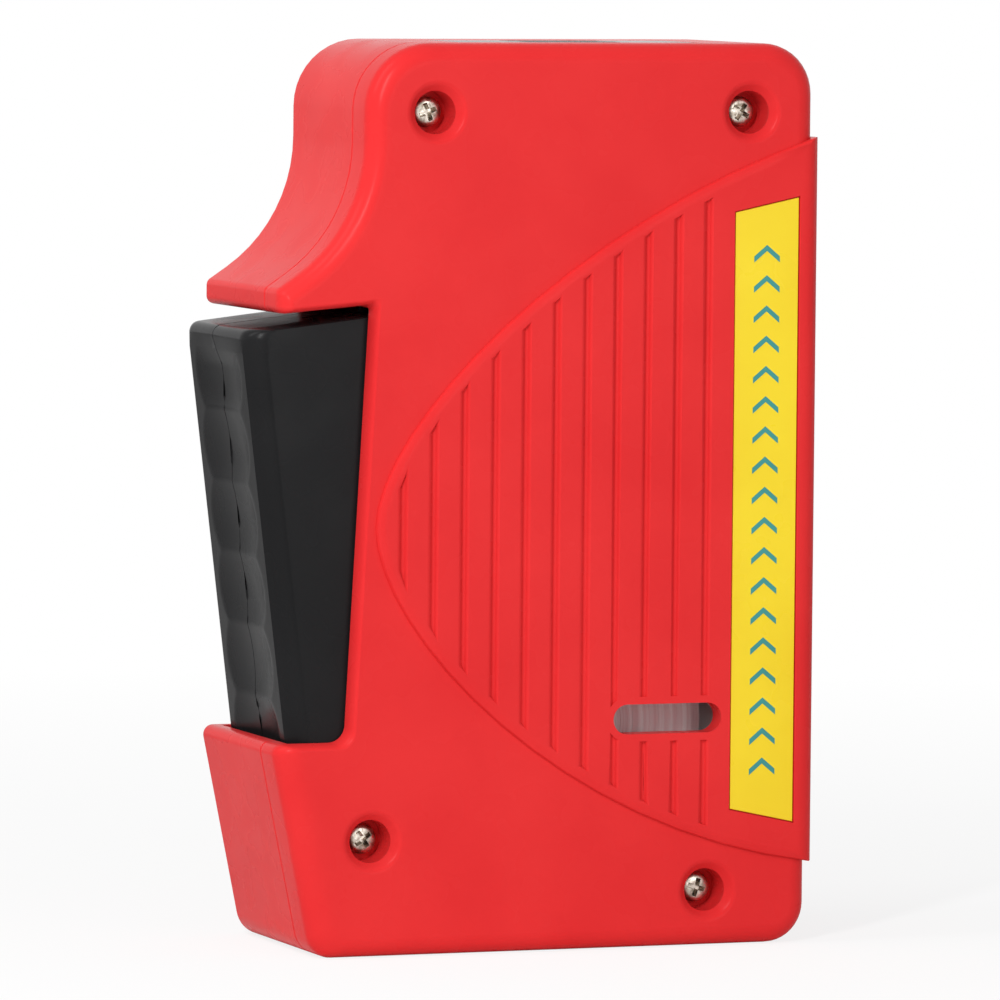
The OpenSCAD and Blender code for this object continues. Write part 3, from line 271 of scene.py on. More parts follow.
class Finish:
    """A node material built up step by step on the piece's own coordinates."""

    def __init__(self, name, colour, roughness, **sockets):
        self.material = bpy.data.materials.new(name)
        self.material.use_nodes = True
        self.tree = self.material.node_tree
        self.shader = self.tree.nodes["Principled BSDF"]
        fill_sockets(self.tree, self.shader, Base_Color=colour, Roughness=roughness, **sockets)
        self.colour = colour
        self.roughness = roughness
        self.place = add_node(self.tree, "TexCoord").outputs["Object"]
        self.bump = None

    def noise(self, size, detail, stretch=(1, 1, 1), warp=0.0):
        """Soft spots of about the size, squeezed along an axis whose stretch is over 1."""
        mapping = add_node(self.tree, "Mapping", Scale=stretch, Vector=self.place)
        texture = add_node(self.tree, "TexNoise", Scale=PER_METRE / size, Detail=detail,
                           Distortion=warp, Vector=mapping.outputs["Vector"])
        return texture.outputs["Fac"]

    def spread(self, value, low, high, from_low=0.35, from_high=0.65):
        """The value's usual range drawn out over another."""
        node = add_node(self.tree, "MapRange", From_Min=from_low, From_Max=from_high,
                        To_Min=low, To_Max=high, Value=value)
        return node.outputs["Result"]

    def tint(self, value, other):
        """The other colour where the value is 1."""
        mix = add_node(self.tree, "Mix")
        mix.data_type = "RGBA"
        mix.inputs[6].default_value = self.colour
        mix.inputs[7].default_value = other
        self.tree.links.new(value, mix.inputs[0])
        fill_sockets(self.tree, self.shader, Base_Color=mix.outputs[2])

    def vary_roughness(self, value, swing):
        result = self.spread(value, self.roughness - swing, self.roughness + swing)
        fill_sockets(self.tree, self.shader, Roughness=result)

    def relief(self, value, height, strength=1.0):
        """Bumps of a height, on top of those there already."""
        node = add_node(self.tree, "Bump", Distance=height * MM, Strength=strength,
                        Height=value)
        if self.bump is not None:
            fill_sockets(self.tree, node, Normal=self.bump)
        self.bump = node.outputs["Normal"]
        fill_sockets(self.tree, self.shader, Normal=self.bump)


def moulded(name, colour, shade, roughness, grain=0.22, depth=0.0012, **sockets):
    """Injection-moulded plastic: a fine spark-eroded grain, and slow clouds in tone and
    gloss."""
    finish = Finish(name, colour, roughness, **sockets)
    finish.tint(finish.spread(finish.noise(22, 3), 0.0, 1.0), shade)
    finish.vary_roughness(finish.noise(7, 2), 0.03)
    finish.relief(finish.noise(grain, 2), depth)
    finish.relief(finish.noise(14, 1), 0.003, 0.6)
    return finish.material


def metal(name, colour, shade, roughness, stretch=(1, 1, 1)):
    """Plated or ground metal, with marks that run round the piece where stretched."""
    finish = Finish(name, colour, roughness, Metallic=1.0)
    finish.tint(finish.spread(finish.noise(1.0, 4, stretch), 0.0, 1.0), shade)
    finish.vary_roughness(finish.noise(0.5, 4, stretch), 0.09)
    finish.relief(finish.noise(0.5, 5, stretch), 0.004)
    return finish.material


def felted(name, colour, shade):
    finish = Finish(name, colour, 0.95, Sheen_Weight=0.4)
    finish.tint(finish.spread(finish.noise(0.6, 5), 0.0, 1.0), shade)
    finish.relief(finish.noise(0.35, 6, warp=1.5), 0.12)
    return finish.material


def clear_pane(name, colour):
    finish = Finish(name, colour, 0.05, Alpha=0.04, IOR=1.46)
    finish.relief(finish.noise(9, 1), 0.01, 0.5)
    return finish.material


def woven(name, colour, shade, thread=0.18):
    """Fine microfibre cloth: crossed threads on the strip's own map, with a soft sheen."""
    finish = Finish(name, colour, 0.85, Sheen_Weight=0.25, Sheen_Roughness=0.5)
    tree = finish.tree
    finish.place = add_node(tree, "TexCoord").outputs["UV"]
    threads = []
    for direction in ("X", "Y"):
        wave = add_node(tree, "TexWave", Scale=PER_METRE / thread / WAVE, Distortion=0.6,
                        Detail=1.0, Vector=finish.place)
        wave.bands_direction = direction
        threads.append(wave.outputs["Fac"])
    crossed = joined(tree, "MULTIPLY", *threads)
    finish.tint(finish.spread(crossed, 0.0, 0.6, 0.0, 1.0), shade)
    finish.relief(crossed, 0.02)
    finish.relief(finish.noise(0.4, 4), 0.01)
    return finish.material


def wound(name, colour, shade, centre, layer=0.42, band=1.6):
    """The end of a wound roll: rings of tape layers round the reel's axis, in darker and
    lighter bands."""
    finish = Finish(name, colour, 0.8, Sheen_Weight=0.2, Sheen_Roughness=0.5)
    tree = finish.tree
    mapping = add_node(tree, "Mapping", Location=-at(centre[0], HALF_DEPTH, centre[1]),
                       Vector=finish.place)
    rings = add_node(tree, "TexWave", Scale=PER_METRE / layer / WAVE, Distortion=2.0,
                     Detail=2.0, Detail_Scale=0.2, Vector=mapping.outputs["Vector"])
    rings.wave_type = "RINGS"
    rings.rings_direction = "Y"
    flat = add_node(tree, "VectorMath")
    flat.operation = "MULTIPLY"
    flat.inputs[1].default_value = (1, 0, 1)
    tree.links.new(mapping.outputs["Vector"], flat.inputs[0])
    reach = add_node(tree, "VectorMath")
    reach.operation = "LENGTH"
    tree.links.new(flat.outputs["Vector"], reach.inputs[0])
    bands = add_node(tree, "TexNoise", Scale=PER_METRE / band, Detail=5.0)
    bands.noise_dimensions = "1D"
    fill_sockets(tree, bands, W=reach.outputs["Value"])
    finish.tint(finish.spread(bands.outputs["Fac"], 0.0, 1.0, 0.35, 0.6), shade)
    finish.relief(rings.outputs["Fac"], 0.015)
    finish.relief(finish.noise(0.25, 4), 0.012)
    return finish.material


RED = moulded("satin red housing", linear(219, 49, 50), linear(213, 44, 46), 0.27,
              Specular_IOR_Level=0.05)
BLACK = moulded("semi-gloss black grip", linear(30, 30, 31), linear(25, 25, 26), 0.26,
                Specular_IOR_Level=0.07)
BLACK_INSERT = moulded("black window insert", linear(30, 30, 32), linear(24, 24, 26), 0.2,
                       Specular_IOR_Level=0.5)
GREY = moulded("natural grey gearing", linear(176, 177, 180), linear(160, 161, 165), 0.42)
WHITE = moulded("white reel plastic", linear(226, 226, 222), linear(214, 214, 210), 0.4)
YELLOW = moulded("yellow label film", linear(236, 208, 30), linear(230, 198, 20), 0.3,
                 grain=0.5, depth=0.001, Specular_IOR_Level=0.3)
TEAL = moulded("teal label print", linear(40, 138, 134), linear(32, 124, 122), 0.4,
               grain=0.3, depth=0.001)
NICKEL = metal("nickel plated screw", linear(226, 218, 206), linear(132, 122, 108), 0.34)
PIN_STEEL = metal("ground pin steel", linear(196, 197, 200), linear(170, 171, 175), 0.24,
                  (1, 12, 1))
WIRE_STEEL = metal("drawn spring wire", linear(176, 177, 181), linear(140, 141, 146), 0.3,
                   (1, 6, 1))
CLOTH = woven("woven cleaning tape", linear(238, 232, 230), linear(214, 204, 204))
FELT = felted("grey brake felt", linear(84, 84, 86), linear(58, 58, 60))
RUBBER = moulded("soft pad rubber", linear(36, 36, 38), linear(26, 26, 28), 0.6, grain=0.4,
                 depth=0.01)
CLEAR = clear_pane("clear window pane", linear(236, 240, 240))

MATERIAL_FOR = {
    "red_plastic": RED, "black_plastic": BLACK_INSERT, "grey_plastic": GREY,
    "white_plastic": WHITE, "yellow_label": YELLOW, "clear_plastic": CLEAR,
    "screw_steel": NICKEL, "pin_steel": PIN_STEEL, "spring_steel": WIRE_STEEL,
    "tape_cloth": CLOTH, "brake_felt": FELT, "pad_rubber": RUBBER,
}
for node, solid in frame["nodes"].items():
    solid.data.materials.clear()
    solid.data.materials.append(MATERIAL_FOR[slot_of[node]])


# ---------------------------------------------------------------- camera, light and floor

PURE_WHITE = (1, 1, 1, 1)
AMBIENT = 0.38              # the room's light on the object
LAMP_AIM = (0, 18, 67)      # where the lamps point


def aim_camera(azimuth, elevation, roll, lens, distance, target):
    """A long lens aimed at the target from a little to the left and above, in degrees, with
    its frame tilted by the roll."""
    a, e, r = (math.radians(angle) for angle in (azimuth, elevation, roll))
    ahead = Vector((math.sin(a) * math.cos(e), math.cos(a) * math.cos(e), -math.sin(e)))
    level = Vector((math.cos(a), -math.sin(a), 0))
    up = level.cross(ahead)
    right = level * math.cos(r) + up * math.sin(r)
    up = up * math.cos(r) - level * math.sin(r)
    data = bpy.data.cameras.new("camera")
    data.lens = lens
    data.sensor_width = 36
    data.clip_start, data.clip_end = 0.05, 50
    camera = bpy.data.objects.new("camera", data)
    bpy.context.scene.collection.objects.link(camera)
    turned_to = Matrix((right, up, -ahead)).transposed().to_4x4()
    camera.matrix_world = Matrix.Translation(at(*target) - ahead * distance * MM) @ turned_to
    bpy.context.scene.camera = camera


def softbox(name, azimuth, elevation, distance, size, watts):
    """A soft lamp round the object. Azimuth 0 is straight in front, minus is to the left."""
    a, e = math.radians(azimuth), math.radians(elevation)
    way = Vector((math.sin(a) * math.cos(e), -math.cos(a) * math.cos(e), math.sin(e)))
    data = bpy.data.lights.new(name, "AREA")
    data.shape = "RECTANGLE"
    data.size, data.size_y = size[0] * MM, size[1] * MM
    data.energy = watts
    lamp = bpy.data.objects.new(name, data)
    bpy.context.scene.collection.objects.link(lamp)
    lamp.location = at(*LAMP_AIM) + way * distance * MM
    lamp.rotation_mode = "QUATERNION"
    lamp.rotation_quaternion = way.to_track_quat("Z", "Y")


def seen_by(tree, *rays):
    """1 for the rays named, and 0 for the light that falls on the object."""
    path = add_node(tree, "LightPath")
    seen = path.outputs[rays[0]]
    for ray in rays[1:]:
        seen = joined(tree, "MAXIMUM", seen, path.outputs[ray])
    return seen


def set_room():
    """A room that gives a plain soft light, and is white wherever it shows."""
    world = bpy.data.worlds.new("studio")
    bpy.context.scene.world = world
    world.use_nodes = True
    tree = world.node_tree
    ambient = tree.nodes["Background"]
    fill_sockets(tree, ambient, Color=PURE_WHITE, Strength=AMBIENT)
    white = add_node(tree, "Background", Color=PURE_WHITE, Strength=1.0)
    seen = seen_by(tree, "Is Camera Ray", "Is Transmission Ray", "Is Glossy Ray")
    mix = shared_out(tree, seen, ambient.outputs[0], white.outputs[0])
    fill_sockets(tree, tree.nodes["World Output"], Surface=mix)


def lay_floor(near=0.05, far=0.45, near_glow=0.82):
    """A pale floor that keeps the shadow near the object and fades to white further off.
    near and far are metres from its middle."""
    bpy.ops.object.select_all(action="DESELECT")
    bpy.ops.mesh.primitive_plane_add(size=6, location=(0, 0, 0))
    floor = bpy.context.object
    floor.name = "studio_floor"
    material = bpy.data.materials.new("pale floor")
    material.use_nodes = True
    tree = material.node_tree
    paint = tree.nodes["Principled BSDF"]
    fill_sockets(tree, paint, Base_Color=(0.9, 0.9, 0.9, 1), Roughness=0.9,
                 Specular_IOR_Level=0.0)
    glow = add_node(tree, "Emission", Strength=1.0)
    away = add_node(tree, "VectorMath")
    away.operation = "LENGTH"
    tree.links.new(add_node(tree, "TexCoord").outputs["Object"], away.inputs[0])
    fade = add_node(tree, "MapRange", From_Min=near, From_Max=far, To_Min=near_glow, To_Max=1.0,
                    Value=away.outputs["Value"])
    seen = seen_by(tree, "Is Camera Ray", "Is Transmission Ray")
    share = joined(tree, "MULTIPLY", seen, fade.outputs["Result"])
    mix = shared_out(tree, share, paint.outputs[0], glow.outputs[0])
    fill_sockets(tree, tree.nodes["Material Output"], Surface=mix)
    floor.data.materials.append(material)


aim_camera(azimuth=20.53, elevation=4.0, roll=0.49, lens=313.85, distance=1300,
           target=(-5.175, 15, 66.17))
set_room()
lay_floor()
softbox("key_softbox", azimuth=-40, elevation=30, distance=700, size=(48, 340), watts=2.9)
softbox("left_softbox", azimuth=-84, elevation=46, distance=600, size=(160, 380), watts=1.1)
softbox("front_fill", azimuth=12, elevation=10, distance=800, size=(260, 420), watts=0.9)
bpy.context.scene.view_settings.view_transform = "Standard"


# ---------------------------------------------------------------- the red shells

PANEL_FACE, GROOVE_FLOOR = -1.0, -0.45      # depths of the raised panel and its grooves
PANEL_LEFT, PANEL_RIGHT = -40, 37           # places across, a little past its two ends
LABEL_SIDE = 25.2                           # where the label's side of the panel starts
WINDOW, WINDOW_REACH = (15.7, 34.4), (10.1, 3.6)    # its middle, and what counts as near it
SCREWS = [(-21.0, 124.3), (28.6, 124.3), (-30.3, 17.2), (22.7, 8.4)]
BORE_REACH = 4.8            # what lies nearer a screw's axis belongs to its counterbore
LIP_DEPTH, LIP_SLACK = 0.475, 0.525         # its lip lies from the front face to 1 mm under
GROOVE_FIRST_X, GROOVE_PITCH, GROOVES = 21.5, 4.78, 11
GROOVE_REACH = 0.7          # a little over half a groove's width
FLOOR_SHIFT, FLOOR_SHARE = 0.16, 0.34       # where a floor goes, and what is left of its width


def bore_lip(edge):
    """Outer edges of the four counterbores."""
    middle = middle_of(edge)
    near = any(math.hypot(middle.x - x, middle.z - z) < BORE_REACH for x, z in SCREWS)
    return near and lies_at(edge, LIP_DEPTH, LIP_SLACK) and fold(edge) > 30


def groove_floor(edge):
    """Edges between a groove's floor and its walls."""
    return lies_at(edge, GROOVE_FLOOR, 0.02) and fold(edge) > 30


def panel_rim(low_x, high_x, smallest_fold):
    """Tests for the cut edges in the raised panel's face, between two places across it. The
    window's rim stays sharp: rounded, it shades as a dark line under the slot."""
    def wanted(edge):
        middle = middle_of(edge)
        at_window = (abs(middle.x - WINDOW[0]) < WINDOW_REACH[0]
                     and abs(middle.z - WINDOW[1]) < WINDOW_REACH[1])
        return (lies_at(edge, PANEL_FACE, 0.01) and not at_window
                and low_x < middle.x < high_x and fold(edge) > smallest_fold)
    return wanted


def slope_grooves(piece):
    """Draws each groove's floor in to a narrow strip, so that both its walls lean."""
    for vertex in piece.data.vertices:
        x = vertex.co.x / MM
        number = round((GROOVE_FIRST_X - x) / GROOVE_PITCH)
        middle = GROOVE_FIRST_X - number * GROOVE_PITCH
        if (abs(depth_of(vertex.co) - GROOVE_FLOOR) < 0.02 and 0 <= number < GROOVES
                and abs(x - middle) < GROOVE_REACH):
            vertex.co.x = (middle + FLOOR_SHIFT + FLOOR_SHARE * (x - middle)) * MM


cover = clean_copy("front_cover", "cover_shell")
slope_grooves(cover)
for wanted, width, segments in (
        (bore_lip, 0.45, 4), (groove_floor, 0.12, 2),
        (panel_rim(PANEL_LEFT, LABEL_SIDE, 35), 0.26, 3),
        (panel_rim(LABEL_SIDE, PANEL_RIGHT, 50), 0.1, 2)):
    round_over(cover, wanted, width, segments)
smooth(cover)
settle(cover, "housing", RED, ["front_cover"])

case = clean_copy("rear_case", "case_shell")
smooth(case)
settle(case, "housing", RED, ["rear_case"])


# ---------------------------------------------------------------- the lever

LEVER_TOP, LEVER_FOOT = Vector((-49.4, 92.4)), Vector((-40.9, 22.1))
LEVER_MIDDLE, LEVER_SEAM = 18.0, 19.0
GRIP_START, GRIP_LENGTH, GRIP_HALF_WIDTH = 1.8, 64.2, 12.6
GRIP_RISE, GRIP_SINK = 0.2, 0.8     # the solid's grip face may be this far over and under
RESTS, REST_DEPTH, REST_WIDTH, TROUGH = 6, 1.05, 6.6, 1.4
REST_FADE = 16              # over the grip's first and last sixteenth the rests fade out
lever_way = (LEVER_FOOT - LEVER_TOP).normalized()
lever_in = Vector((-lever_way.y, lever_way.x))


def grip_place(co):
    """How far down the grip a point is, how deep under its flat, and how far off its middle."""
    flat = Vector((co.x / MM, co.z / MM)) - LEVER_TOP
    return flat.dot(lever_way), flat.dot(lever_in), depth_of(co) - LEVER_MIDDLE


def on_grip(co, margin):
    down, under, aside = grip_place(co)
    return (-GRIP_RISE < under < GRIP_SINK and abs(aside) < GRIP_HALF_WIDTH
            and GRIP_START + margin < down < GRIP_START + GRIP_LENGTH - margin)


def finger_dip(down, aside):
    """Depth of the finger rests: shallow bowls one under another in a long trough."""
    share = (down - GRIP_START) / GRIP_LENGTH
    part = RESTS * share - math.floor(RESTS * share)
    ends = min(1.0, REST_FADE * share, REST_FADE * (1 - share))
    bowl = 4 * part * (1 - part) + TROUGH - (aside / REST_WIDTH) ** 2
    return REST_DEPTH * ends * max(0.0, bowl) / (1 + TROUGH)


def grip_face(face):
    return (abs(face.normal.y) < 0.5
            and all(on_grip(vertex.co, margin=-0.05) for vertex in face.verts))


def seam_edge(edge):
    """Edges along the seam of the lever's two halves."""
    return lies_at(edge, LEVER_SEAM, 0.2) and fold(edge) > 50


def shape_grip(half):
    """Cuts the grip face finer, so that the rests get their round bowls and crisp edge."""
    open_edit(half, "FACE")
    choose(half, "FACE", grip_face)
    bpy.ops.mesh.subdivide(number_cuts=3)
    close_edit()
    for vertex in half.data.vertices:
        if on_grip(vertex.co, margin=0.3):
            down, under, aside = grip_place(vertex.co)
            shift = (finger_dip(down, aside) - under) * lever_in
            vertex.co.x += shift.x * MM
            vertex.co.z += shift.y * MM


for node, name in (("lever_front_half", "lever_front"), ("lever_rear_half", "lever_rear")):
    half = clean_copy(node, name, flats=False)
    shape_grip(half)
    round_over(half, seam_edge, 0.16, 2)
    smooth(half, 40)
    settle(half, "lever", BLACK, [node])


# ---------------------------------------------------------------- screws

SCREW_HEAD = [(0.0, 4.31), (0.9, 4.33), (1.5, 4.38), (1.85, 4.48), (2.1, 4.68), (2.22, 4.95),
              (2.25, 5.3), (2.25, 5.75), (2.16, 5.94), (2.0, 6.0)]
THREAD_START, THREAD_END, THREAD_PITCH = 7.2, 18.2, 0.9
THREAD_CORE, THREAD_CREST = 0.93, 1.13
SCREW_TURNS = (22, 58, 35, 74)      # how far each was driven, in degrees
RECESS_LONG, RECESS_SHORT = 1.6, 0.42       # half the length and half the width of an arm
RECESS_FRONT, RECESS_FLOOR = 3.9, 5.5       # depths from and to which it is cut
RECESS_TAPER = 0.55                 # its size at the floor, as a share of that at the front


def screw_profile():
    """From the head's middle over the neck and the thread's turns to the point."""
    profile = SCREW_HEAD + [(1.15, 6.0), (1.15, THREAD_START)]
    depth = THREAD_START
    while depth < THREAD_END:
        profile += [(THREAD_CORE, depth + 0.3), (THREAD_CREST, depth + 0.55),
                    (THREAD_CREST, depth + 0.65)]
        depth += THREAD_PITCH
    return profile + [(0.9, depth + 0.3), (0.35, 19.95), (0.0, 20.0)]


def make_screw(name, centre, turn):
    """A pan-head screw with a cross recess, turned and then cut."""
    x, z = centre
    screw = turned(name, centre, screw_profile(), 40)
    for wide, high in ((RECESS_LONG, RECESS_SHORT), (RECESS_SHORT, RECESS_LONG)):
        blade = slab("cross_blade", (x - wide, RECESS_FRONT, z - high),
                     (x + wide, RECESS_FLOOR, z + high))
        open_edit(blade, "FACE")
        bpy.ops.mesh.select_all(action="SELECT")
        bpy.ops.transform.rotate(value=math.radians(turn), orient_axis="Y",
                                 center_override=at(x, 5, z))
        choose(blade, "FACE", lambda face: face.normal.y > 0.9)
        bpy.ops.transform.resize(value=(RECESS_TAPER, 1, RECESS_TAPER),
                                 center_override=at(x, RECESS_FLOOR, z))
        close_edit()
        use_modifier(screw, "BOOLEAN", operation="DIFFERENCE", solver="EXACT", object=blade)
        bpy.data.objects.remove(blade)
    return screw


screws = [make_screw("screw_%d" % number, place, turn)
          for number, place, turn in zip(range(1, 5), SCREWS, SCREW_TURNS)]
for screw in screws:
    smooth(screw, 35)
    settle(screw, "housing", NICKEL)
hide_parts("housing_screws")


# ---------------------------------------------------------------- wound tape

SUPPLY, TAKE_UP = (1.5, 33.4), (5.831, 80.217)      # the reels' axes
HUB, SUPPLY_OUTER, USED_OUTER = 7.56, 22.5, 10.0    # radii of the hub and the two windings
TAPE_FRONT, TAPE_BACK, TAPE_T = 7.0, 23.0, 0.16
NARROW, WIDE, SUNK = 0.22, 0.6, 0.14        # least and most width of a step, most depth
STEP_GAP = 0.02             # how far the wall between two steps leans into each


def layers(rough, outer):
    """Steps from the hub outwards, as (from, to, how far sunk)."""
    radius, found = HUB, []
    while radius < outer - 0.3:
        width = rough.uniform(NARROW, WIDE)
        found.append((radius, min(outer - 0.05, radius + width), rough.uniform(0.0, SUNK)))
        radius += width
    return found


def winding(outer, seed):
    """Closed profile whose two end faces step in and out as the layers do."""
    rough = random.Random(seed)
    points = []
    for low, high, sunk in layers(rough, outer):
        points += [(low + STEP_GAP, TAPE_FRONT + sunk), (high - STEP_GAP, TAPE_FRONT + sunk)]
    points += [(outer, TAPE_FRONT + 0.1), (outer, TAPE_BACK - 0.1)]
    for low, high, sunk in reversed(layers(rough, outer)):
        points += [(high - STEP_GAP, TAPE_BACK - sunk), (low + STEP_GAP, TAPE_BACK - sunk)]
    return points + points[:1]


supply_roll = turned("supply_winding", SUPPLY, winding(SUPPLY_OUTER, 5), 128)
smooth(supply_roll, 25)
# Both tones of the supply roll are tinted pink as painted reflection of red light from the
# housing's walls; the tape itself is near white, like the free strip.
settle(supply_roll, "supply_reel",
       wound("wound supply tape with painted red reflection", linear(255, 236, 236), linear(232, 186, 188), SUPPLY),
       ["supply_tape_roll"])
used_turns = turned("take_up_turns", TAKE_UP, winding(USED_OUTER, 9), 96)
smooth(used_turns, 25)
settle(used_turns, "take_up_reel",
       wound("wound used tape", linear(220, 212, 210), linear(170, 158, 158), TAKE_UP),
       ["take_up_winding"])


# ---------------------------------------------------------------- free tape

# Each circle that the tape runs round, with its radius, from reel to reel.
TAPE_ROUND = [(SUPPLY, 22.8), ((30.5, 55.9), 4.3), ((27.0, 113.0), 4.3), ((12.5, 128.5), 1.5),
              ((-4.5, 128.5), 1.5), ((-23.5, 109.0), 4.3), (TAKE_UP, 10.3)]
TAPE_OUT = 0.1              # from those circles to the middle of the tape
BEND_STEPS, LONGEST_STEP = 10, 3.0


def leaving(here, there):
    """Angle of the point where the tape leaves one circle for the next, both turned round
    the same way."""
    (ax, az), a_radius = here
    (bx, bz), b_radius = there
    across = math.atan2(bz - az, bx - ax)
    return across - math.acos((a_radius - b_radius) / math.hypot(bx - ax, bz - az))


def on_circle(circle, angle):
    (x, z), radius = circle
    out = radius + TAPE_OUT
    return Vector((x + out * math.cos(angle), z + out * math.sin(angle)))


def tape_route():
    """The free tape's line from the full roll round the rollers and the pad, as (x, z)."""
    route = [on_circle(TAPE_ROUND[0], leaving(TAPE_ROUND[0], TAPE_ROUND[1]))]
    for before, circle, after in zip(TAPE_ROUND, TAPE_ROUND[1:], TAPE_ROUND[2:]):
        start, stop = leaving(before, circle), leaving(circle, after)
        turn = (stop - start) % WHOLE_TURN
        route += [on_circle(circle, start + turn * i / BEND_STEPS)
                  for i in range(BEND_STEPS + 1)]
    return route + [on_circle(TAPE_ROUND[-1], leaving(TAPE_ROUND[-2], TAPE_ROUND[-1]))]


def finer(route):
    """The same line with points put in where two are far apart."""
    points = [route[0]]
    for here, there in zip(route, route[1:]):
        count = max(1, math.ceil((there - here).length / LONGEST_STEP))
        points += [here.lerp(there, i / count) for i in range(1, count + 1)]
    return points


def make_ribbon(name, route):
    """The strip of tape, mapped in metres along its length and its width."""
    ribbon = draw_line(name, [at(p.x, TAPE_FRONT, p.y) for p in route])
    bpy.ops.mesh.extrude_region_move(
        TRANSFORM_OT_translate={"value": (0, (TAPE_BACK - TAPE_FRONT) * MM, 0)})
    close_edit()
    lengths = [0.0]
    for here, there in zip(route, route[1:]):
        lengths.append(lengths[-1] + (there - here).length)
    layer = ribbon.data.uv_layers.new(name="strip")
    for loop in ribbon.data.loops:
        co = ribbon.data.vertices[loop.vertex_index].co
        here = Vector((co.x / MM, co.z / MM))
        nearest = min(range(len(route)), key=lambda i: (route[i] - here).length)
        layer.data[loop.index].uv = (lengths[nearest] * MM, co.y)
    use_modifier(ribbon, "SOLIDIFY", thickness=TAPE_T * MM, offset=0.0)
    return ribbon, lengths[-1]


ribbon, ribbon_length = make_ribbon("tape_ribbon", finer(tape_route()))
smooth(ribbon, 40)
settle(ribbon, "housing", CLOTH, ["tape_web"])


# ---------------------------------------------------------------- brake ring and pad

FELT_PROFILE = [
    (3.75, 25.3), (3.9, 25.08), (4.3, 25.02), (6.6, 25.0), (8.9, 25.02), (9.35, 25.1),
    (9.53, 25.35), (9.55, 25.6), (9.53, 25.85), (9.35, 26.1), (8.9, 26.18), (6.6, 26.2),
    (4.3, 26.18), (3.9, 26.12), (3.75, 25.9), (3.75, 25.3)]
PAD_LOW, PAD_HIGH = (-6.0, 7.5, 127.0), (14.0, 22.5, 130.0)
PAD_MIDDLE = 15.0           # its middle in depth
PAD_SIDES = 7.2             # what lies further from that middle is its front or back side
PAD_WAIST = 0.25            # how far those sides pull in half way up

felt_ring = turned("felt_brake", SUPPLY, FELT_PROFILE, 72)
smooth(felt_ring, 50)
settle(felt_ring, "housing", FELT, ["supply_brake_ring"])


def end_edge(edge):
    """The pad's two upper edges that the tape runs over."""
    here, there = (vertex.co for vertex in edge.verts)
    return abs(here.y - there.y) > 10 * MM and here.z > (PAD_HIGH[2] - 1) * MM


def upper_edge(edge):
    """Sharp edges above the pad's foot, which stays square."""
    return fold(edge) > 50 and edge.verts[0].co.z > (PAD_LOW[2] + 0.05) * MM


def make_pad(name):
    """A rubber block with round shoulders, whose front and back pull in at the waist."""
    pad = slab(name, PAD_LOW, PAD_HIGH)
    round_over(pad, end_edge, 1.5, 6)
    round_over(pad, upper_edge, 0.35, 3)
    open_edit(pad, "EDGE")
    bpy.ops.mesh.select_all(action="SELECT")
    bpy.ops.mesh.subdivide(number_cuts=2)
    close_edit()
    for vertex in pad.data.vertices:
        height = (vertex.co.z / MM - PAD_LOW[2]) / (PAD_HIGH[2] - PAD_LOW[2])
        pull = PAD_WAIST * math.sin(math.pi * min(1.0, height))
        aside = depth_of(vertex.co) - PAD_MIDDLE
        if abs(aside) > PAD_SIDES:
            vertex.co.y -= math.copysign(pull, aside) * MM
    return pad


pad = make_pad("pressing_pad")
smooth(pad, 45)
settle(pad, "housing", RUBBER, ["cleaning_pad"])


# ---------------------------------------------------------------- insert and spring

INSERT_FACE = 134.4         # what lies higher is the rim that shows round the black insert
PIVOT, COIL_RADIUS = (-36.5, 27.0), 2.3     # the lever's axis, and the coil round it
COIL_TURNS, COIL_STEPS, COIL_FRONT, COIL_BACK = 7, 24, 10.2, 20.0
LEVER_LEG, HOUSING_LEG = (-40.38, 39.0), (-38.8, 15.0)
WIRE_RADIUS = 0.45


def insert_rim(edge):
    """Edges of the insert's face, round it and round its two slots."""
    return fold(edge) > 50 and all(vertex.co.z > INSERT_FACE * MM for vertex in edge.verts)


insert = clean_copy("window_plate", "window_insert")
round_over(insert, insert_rim, 0.3, 3)
smooth(insert)
settle(insert, "housing", BLACK_INSERT, ["window_plate"])


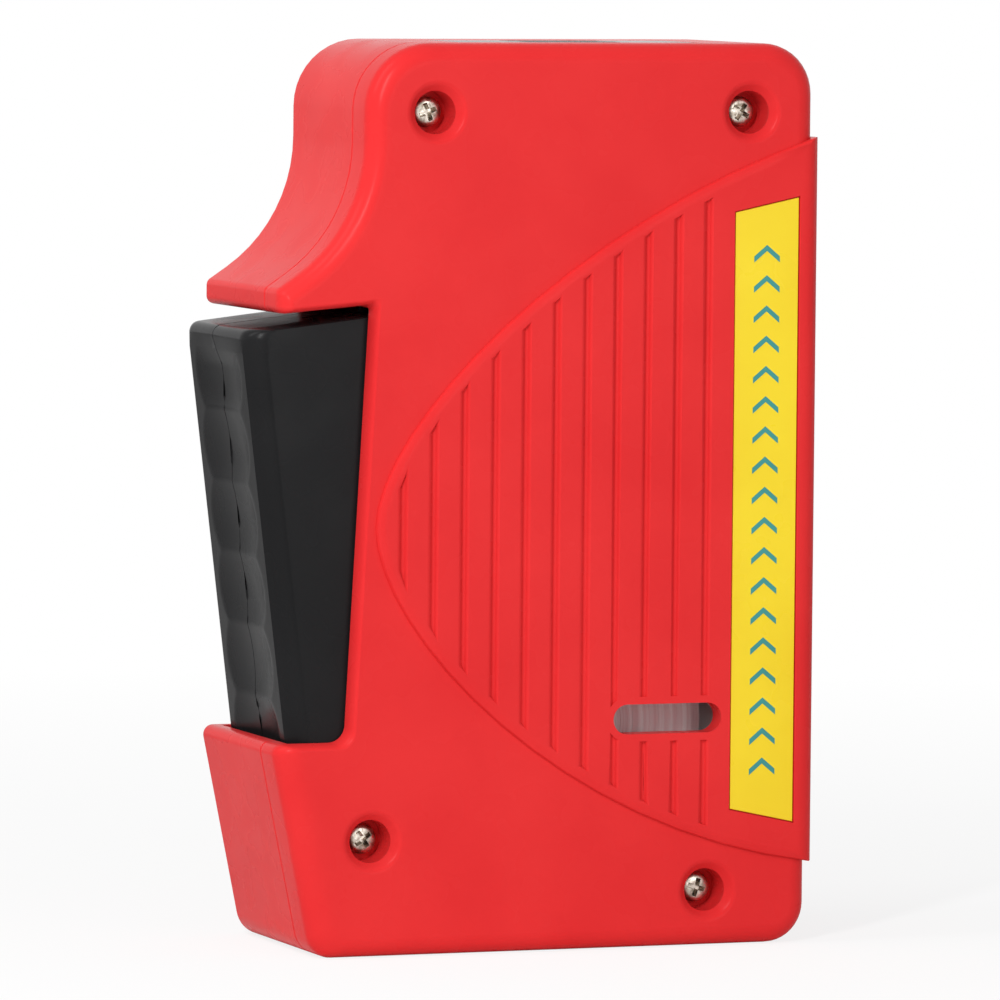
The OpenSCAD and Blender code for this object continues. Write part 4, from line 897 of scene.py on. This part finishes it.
def make_spring(name):
    """Round wire coiled round the pivot, with a leg to the lever and one to the housing."""
    x, z = PIVOT
    points = [at(LEVER_LEG[0], COIL_FRONT, LEVER_LEG[1])]
    for i in range(COIL_TURNS * COIL_STEPS + 1):
        share = i / (COIL_TURNS * COIL_STEPS)
        angle = math.pi + WHOLE_TURN * COIL_TURNS * share
        points.append(at(x + COIL_RADIUS * math.cos(angle),
                         COIL_FRONT + (COIL_BACK - COIL_FRONT) * share,
                         z + COIL_RADIUS * math.sin(angle)))
    points.append(at(HOUSING_LEG[0], COIL_BACK, HOUSING_LEG[1]))
    coil = draw_line(name, points)
    close_edit()
    bpy.ops.object.convert(target="CURVE")
    coil.data.bevel_depth = WIRE_RADIUS * MM
    coil.data.bevel_resolution = 4
    coil.data.use_fill_caps = True
    bpy.ops.object.convert(target="MESH")
    return bpy.context.object


spring = make_spring("coil_spring")
smooth(spring, 50)
settle(spring, None, WIRE_STEEL, ["lever_return_spring"])
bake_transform(spring)


# ---------------------------------------------------------------- the label

MARK_X, MARK_DEPTH, MARK_T = 30.95, -0.8, 0.03
MARK_FIRST_Z, MARK_PITCH, MARKS = 26.0, 4.5, 18
MARK_HALF_WIDTH, MARK_STROKE, MARK_RISE = 2.05, 0.9, 1.7

label = clean_copy("label_plate", "label_film")
round_over(label, lambda edge: fold(edge) > 50, 0.12, 2)
smooth(label)
settle(label, "housing", YELLOW, ["label_plate"])


def make_chevron(name, z):
    """A printed chevron: a strip whose middle is pushed up."""
    bpy.ops.object.select_all(action="DESELECT")
    bpy.ops.mesh.primitive_grid_add(x_subdivisions=2, y_subdivisions=1, size=1,
                                    location=at(MARK_X, MARK_DEPTH, z),
                                    rotation=(math.pi / 2, 0, 0))
    mark = bpy.context.object
    mark.name = name
    mark.scale = (2 * MARK_HALF_WIDTH * MM, MARK_STROKE * MM, 1)
    bpy.ops.object.transform_apply(location=True, rotation=True, scale=True)
    open_edit(mark)
    choose(mark, "VERT", lambda vertex: abs(vertex.co.x / MM - MARK_X) < 0.1)
    bpy.ops.transform.translate(value=(0, 0, MARK_RISE * MM))
    bpy.ops.mesh.select_all(action="SELECT")
    bpy.ops.mesh.extrude_region_move(TRANSFORM_OT_translate={"value": (0, -MARK_T * MM, 0)})
    bpy.ops.mesh.select_all(action="SELECT")
    bpy.ops.mesh.normals_make_consistent(inside=False)
    close_edit()
    return mark


for number in range(MARKS):
    mark = make_chevron("label_mark_%02d" % number, MARK_FIRST_Z + number * MARK_PITCH)
    settle(mark, "housing", TEAL)
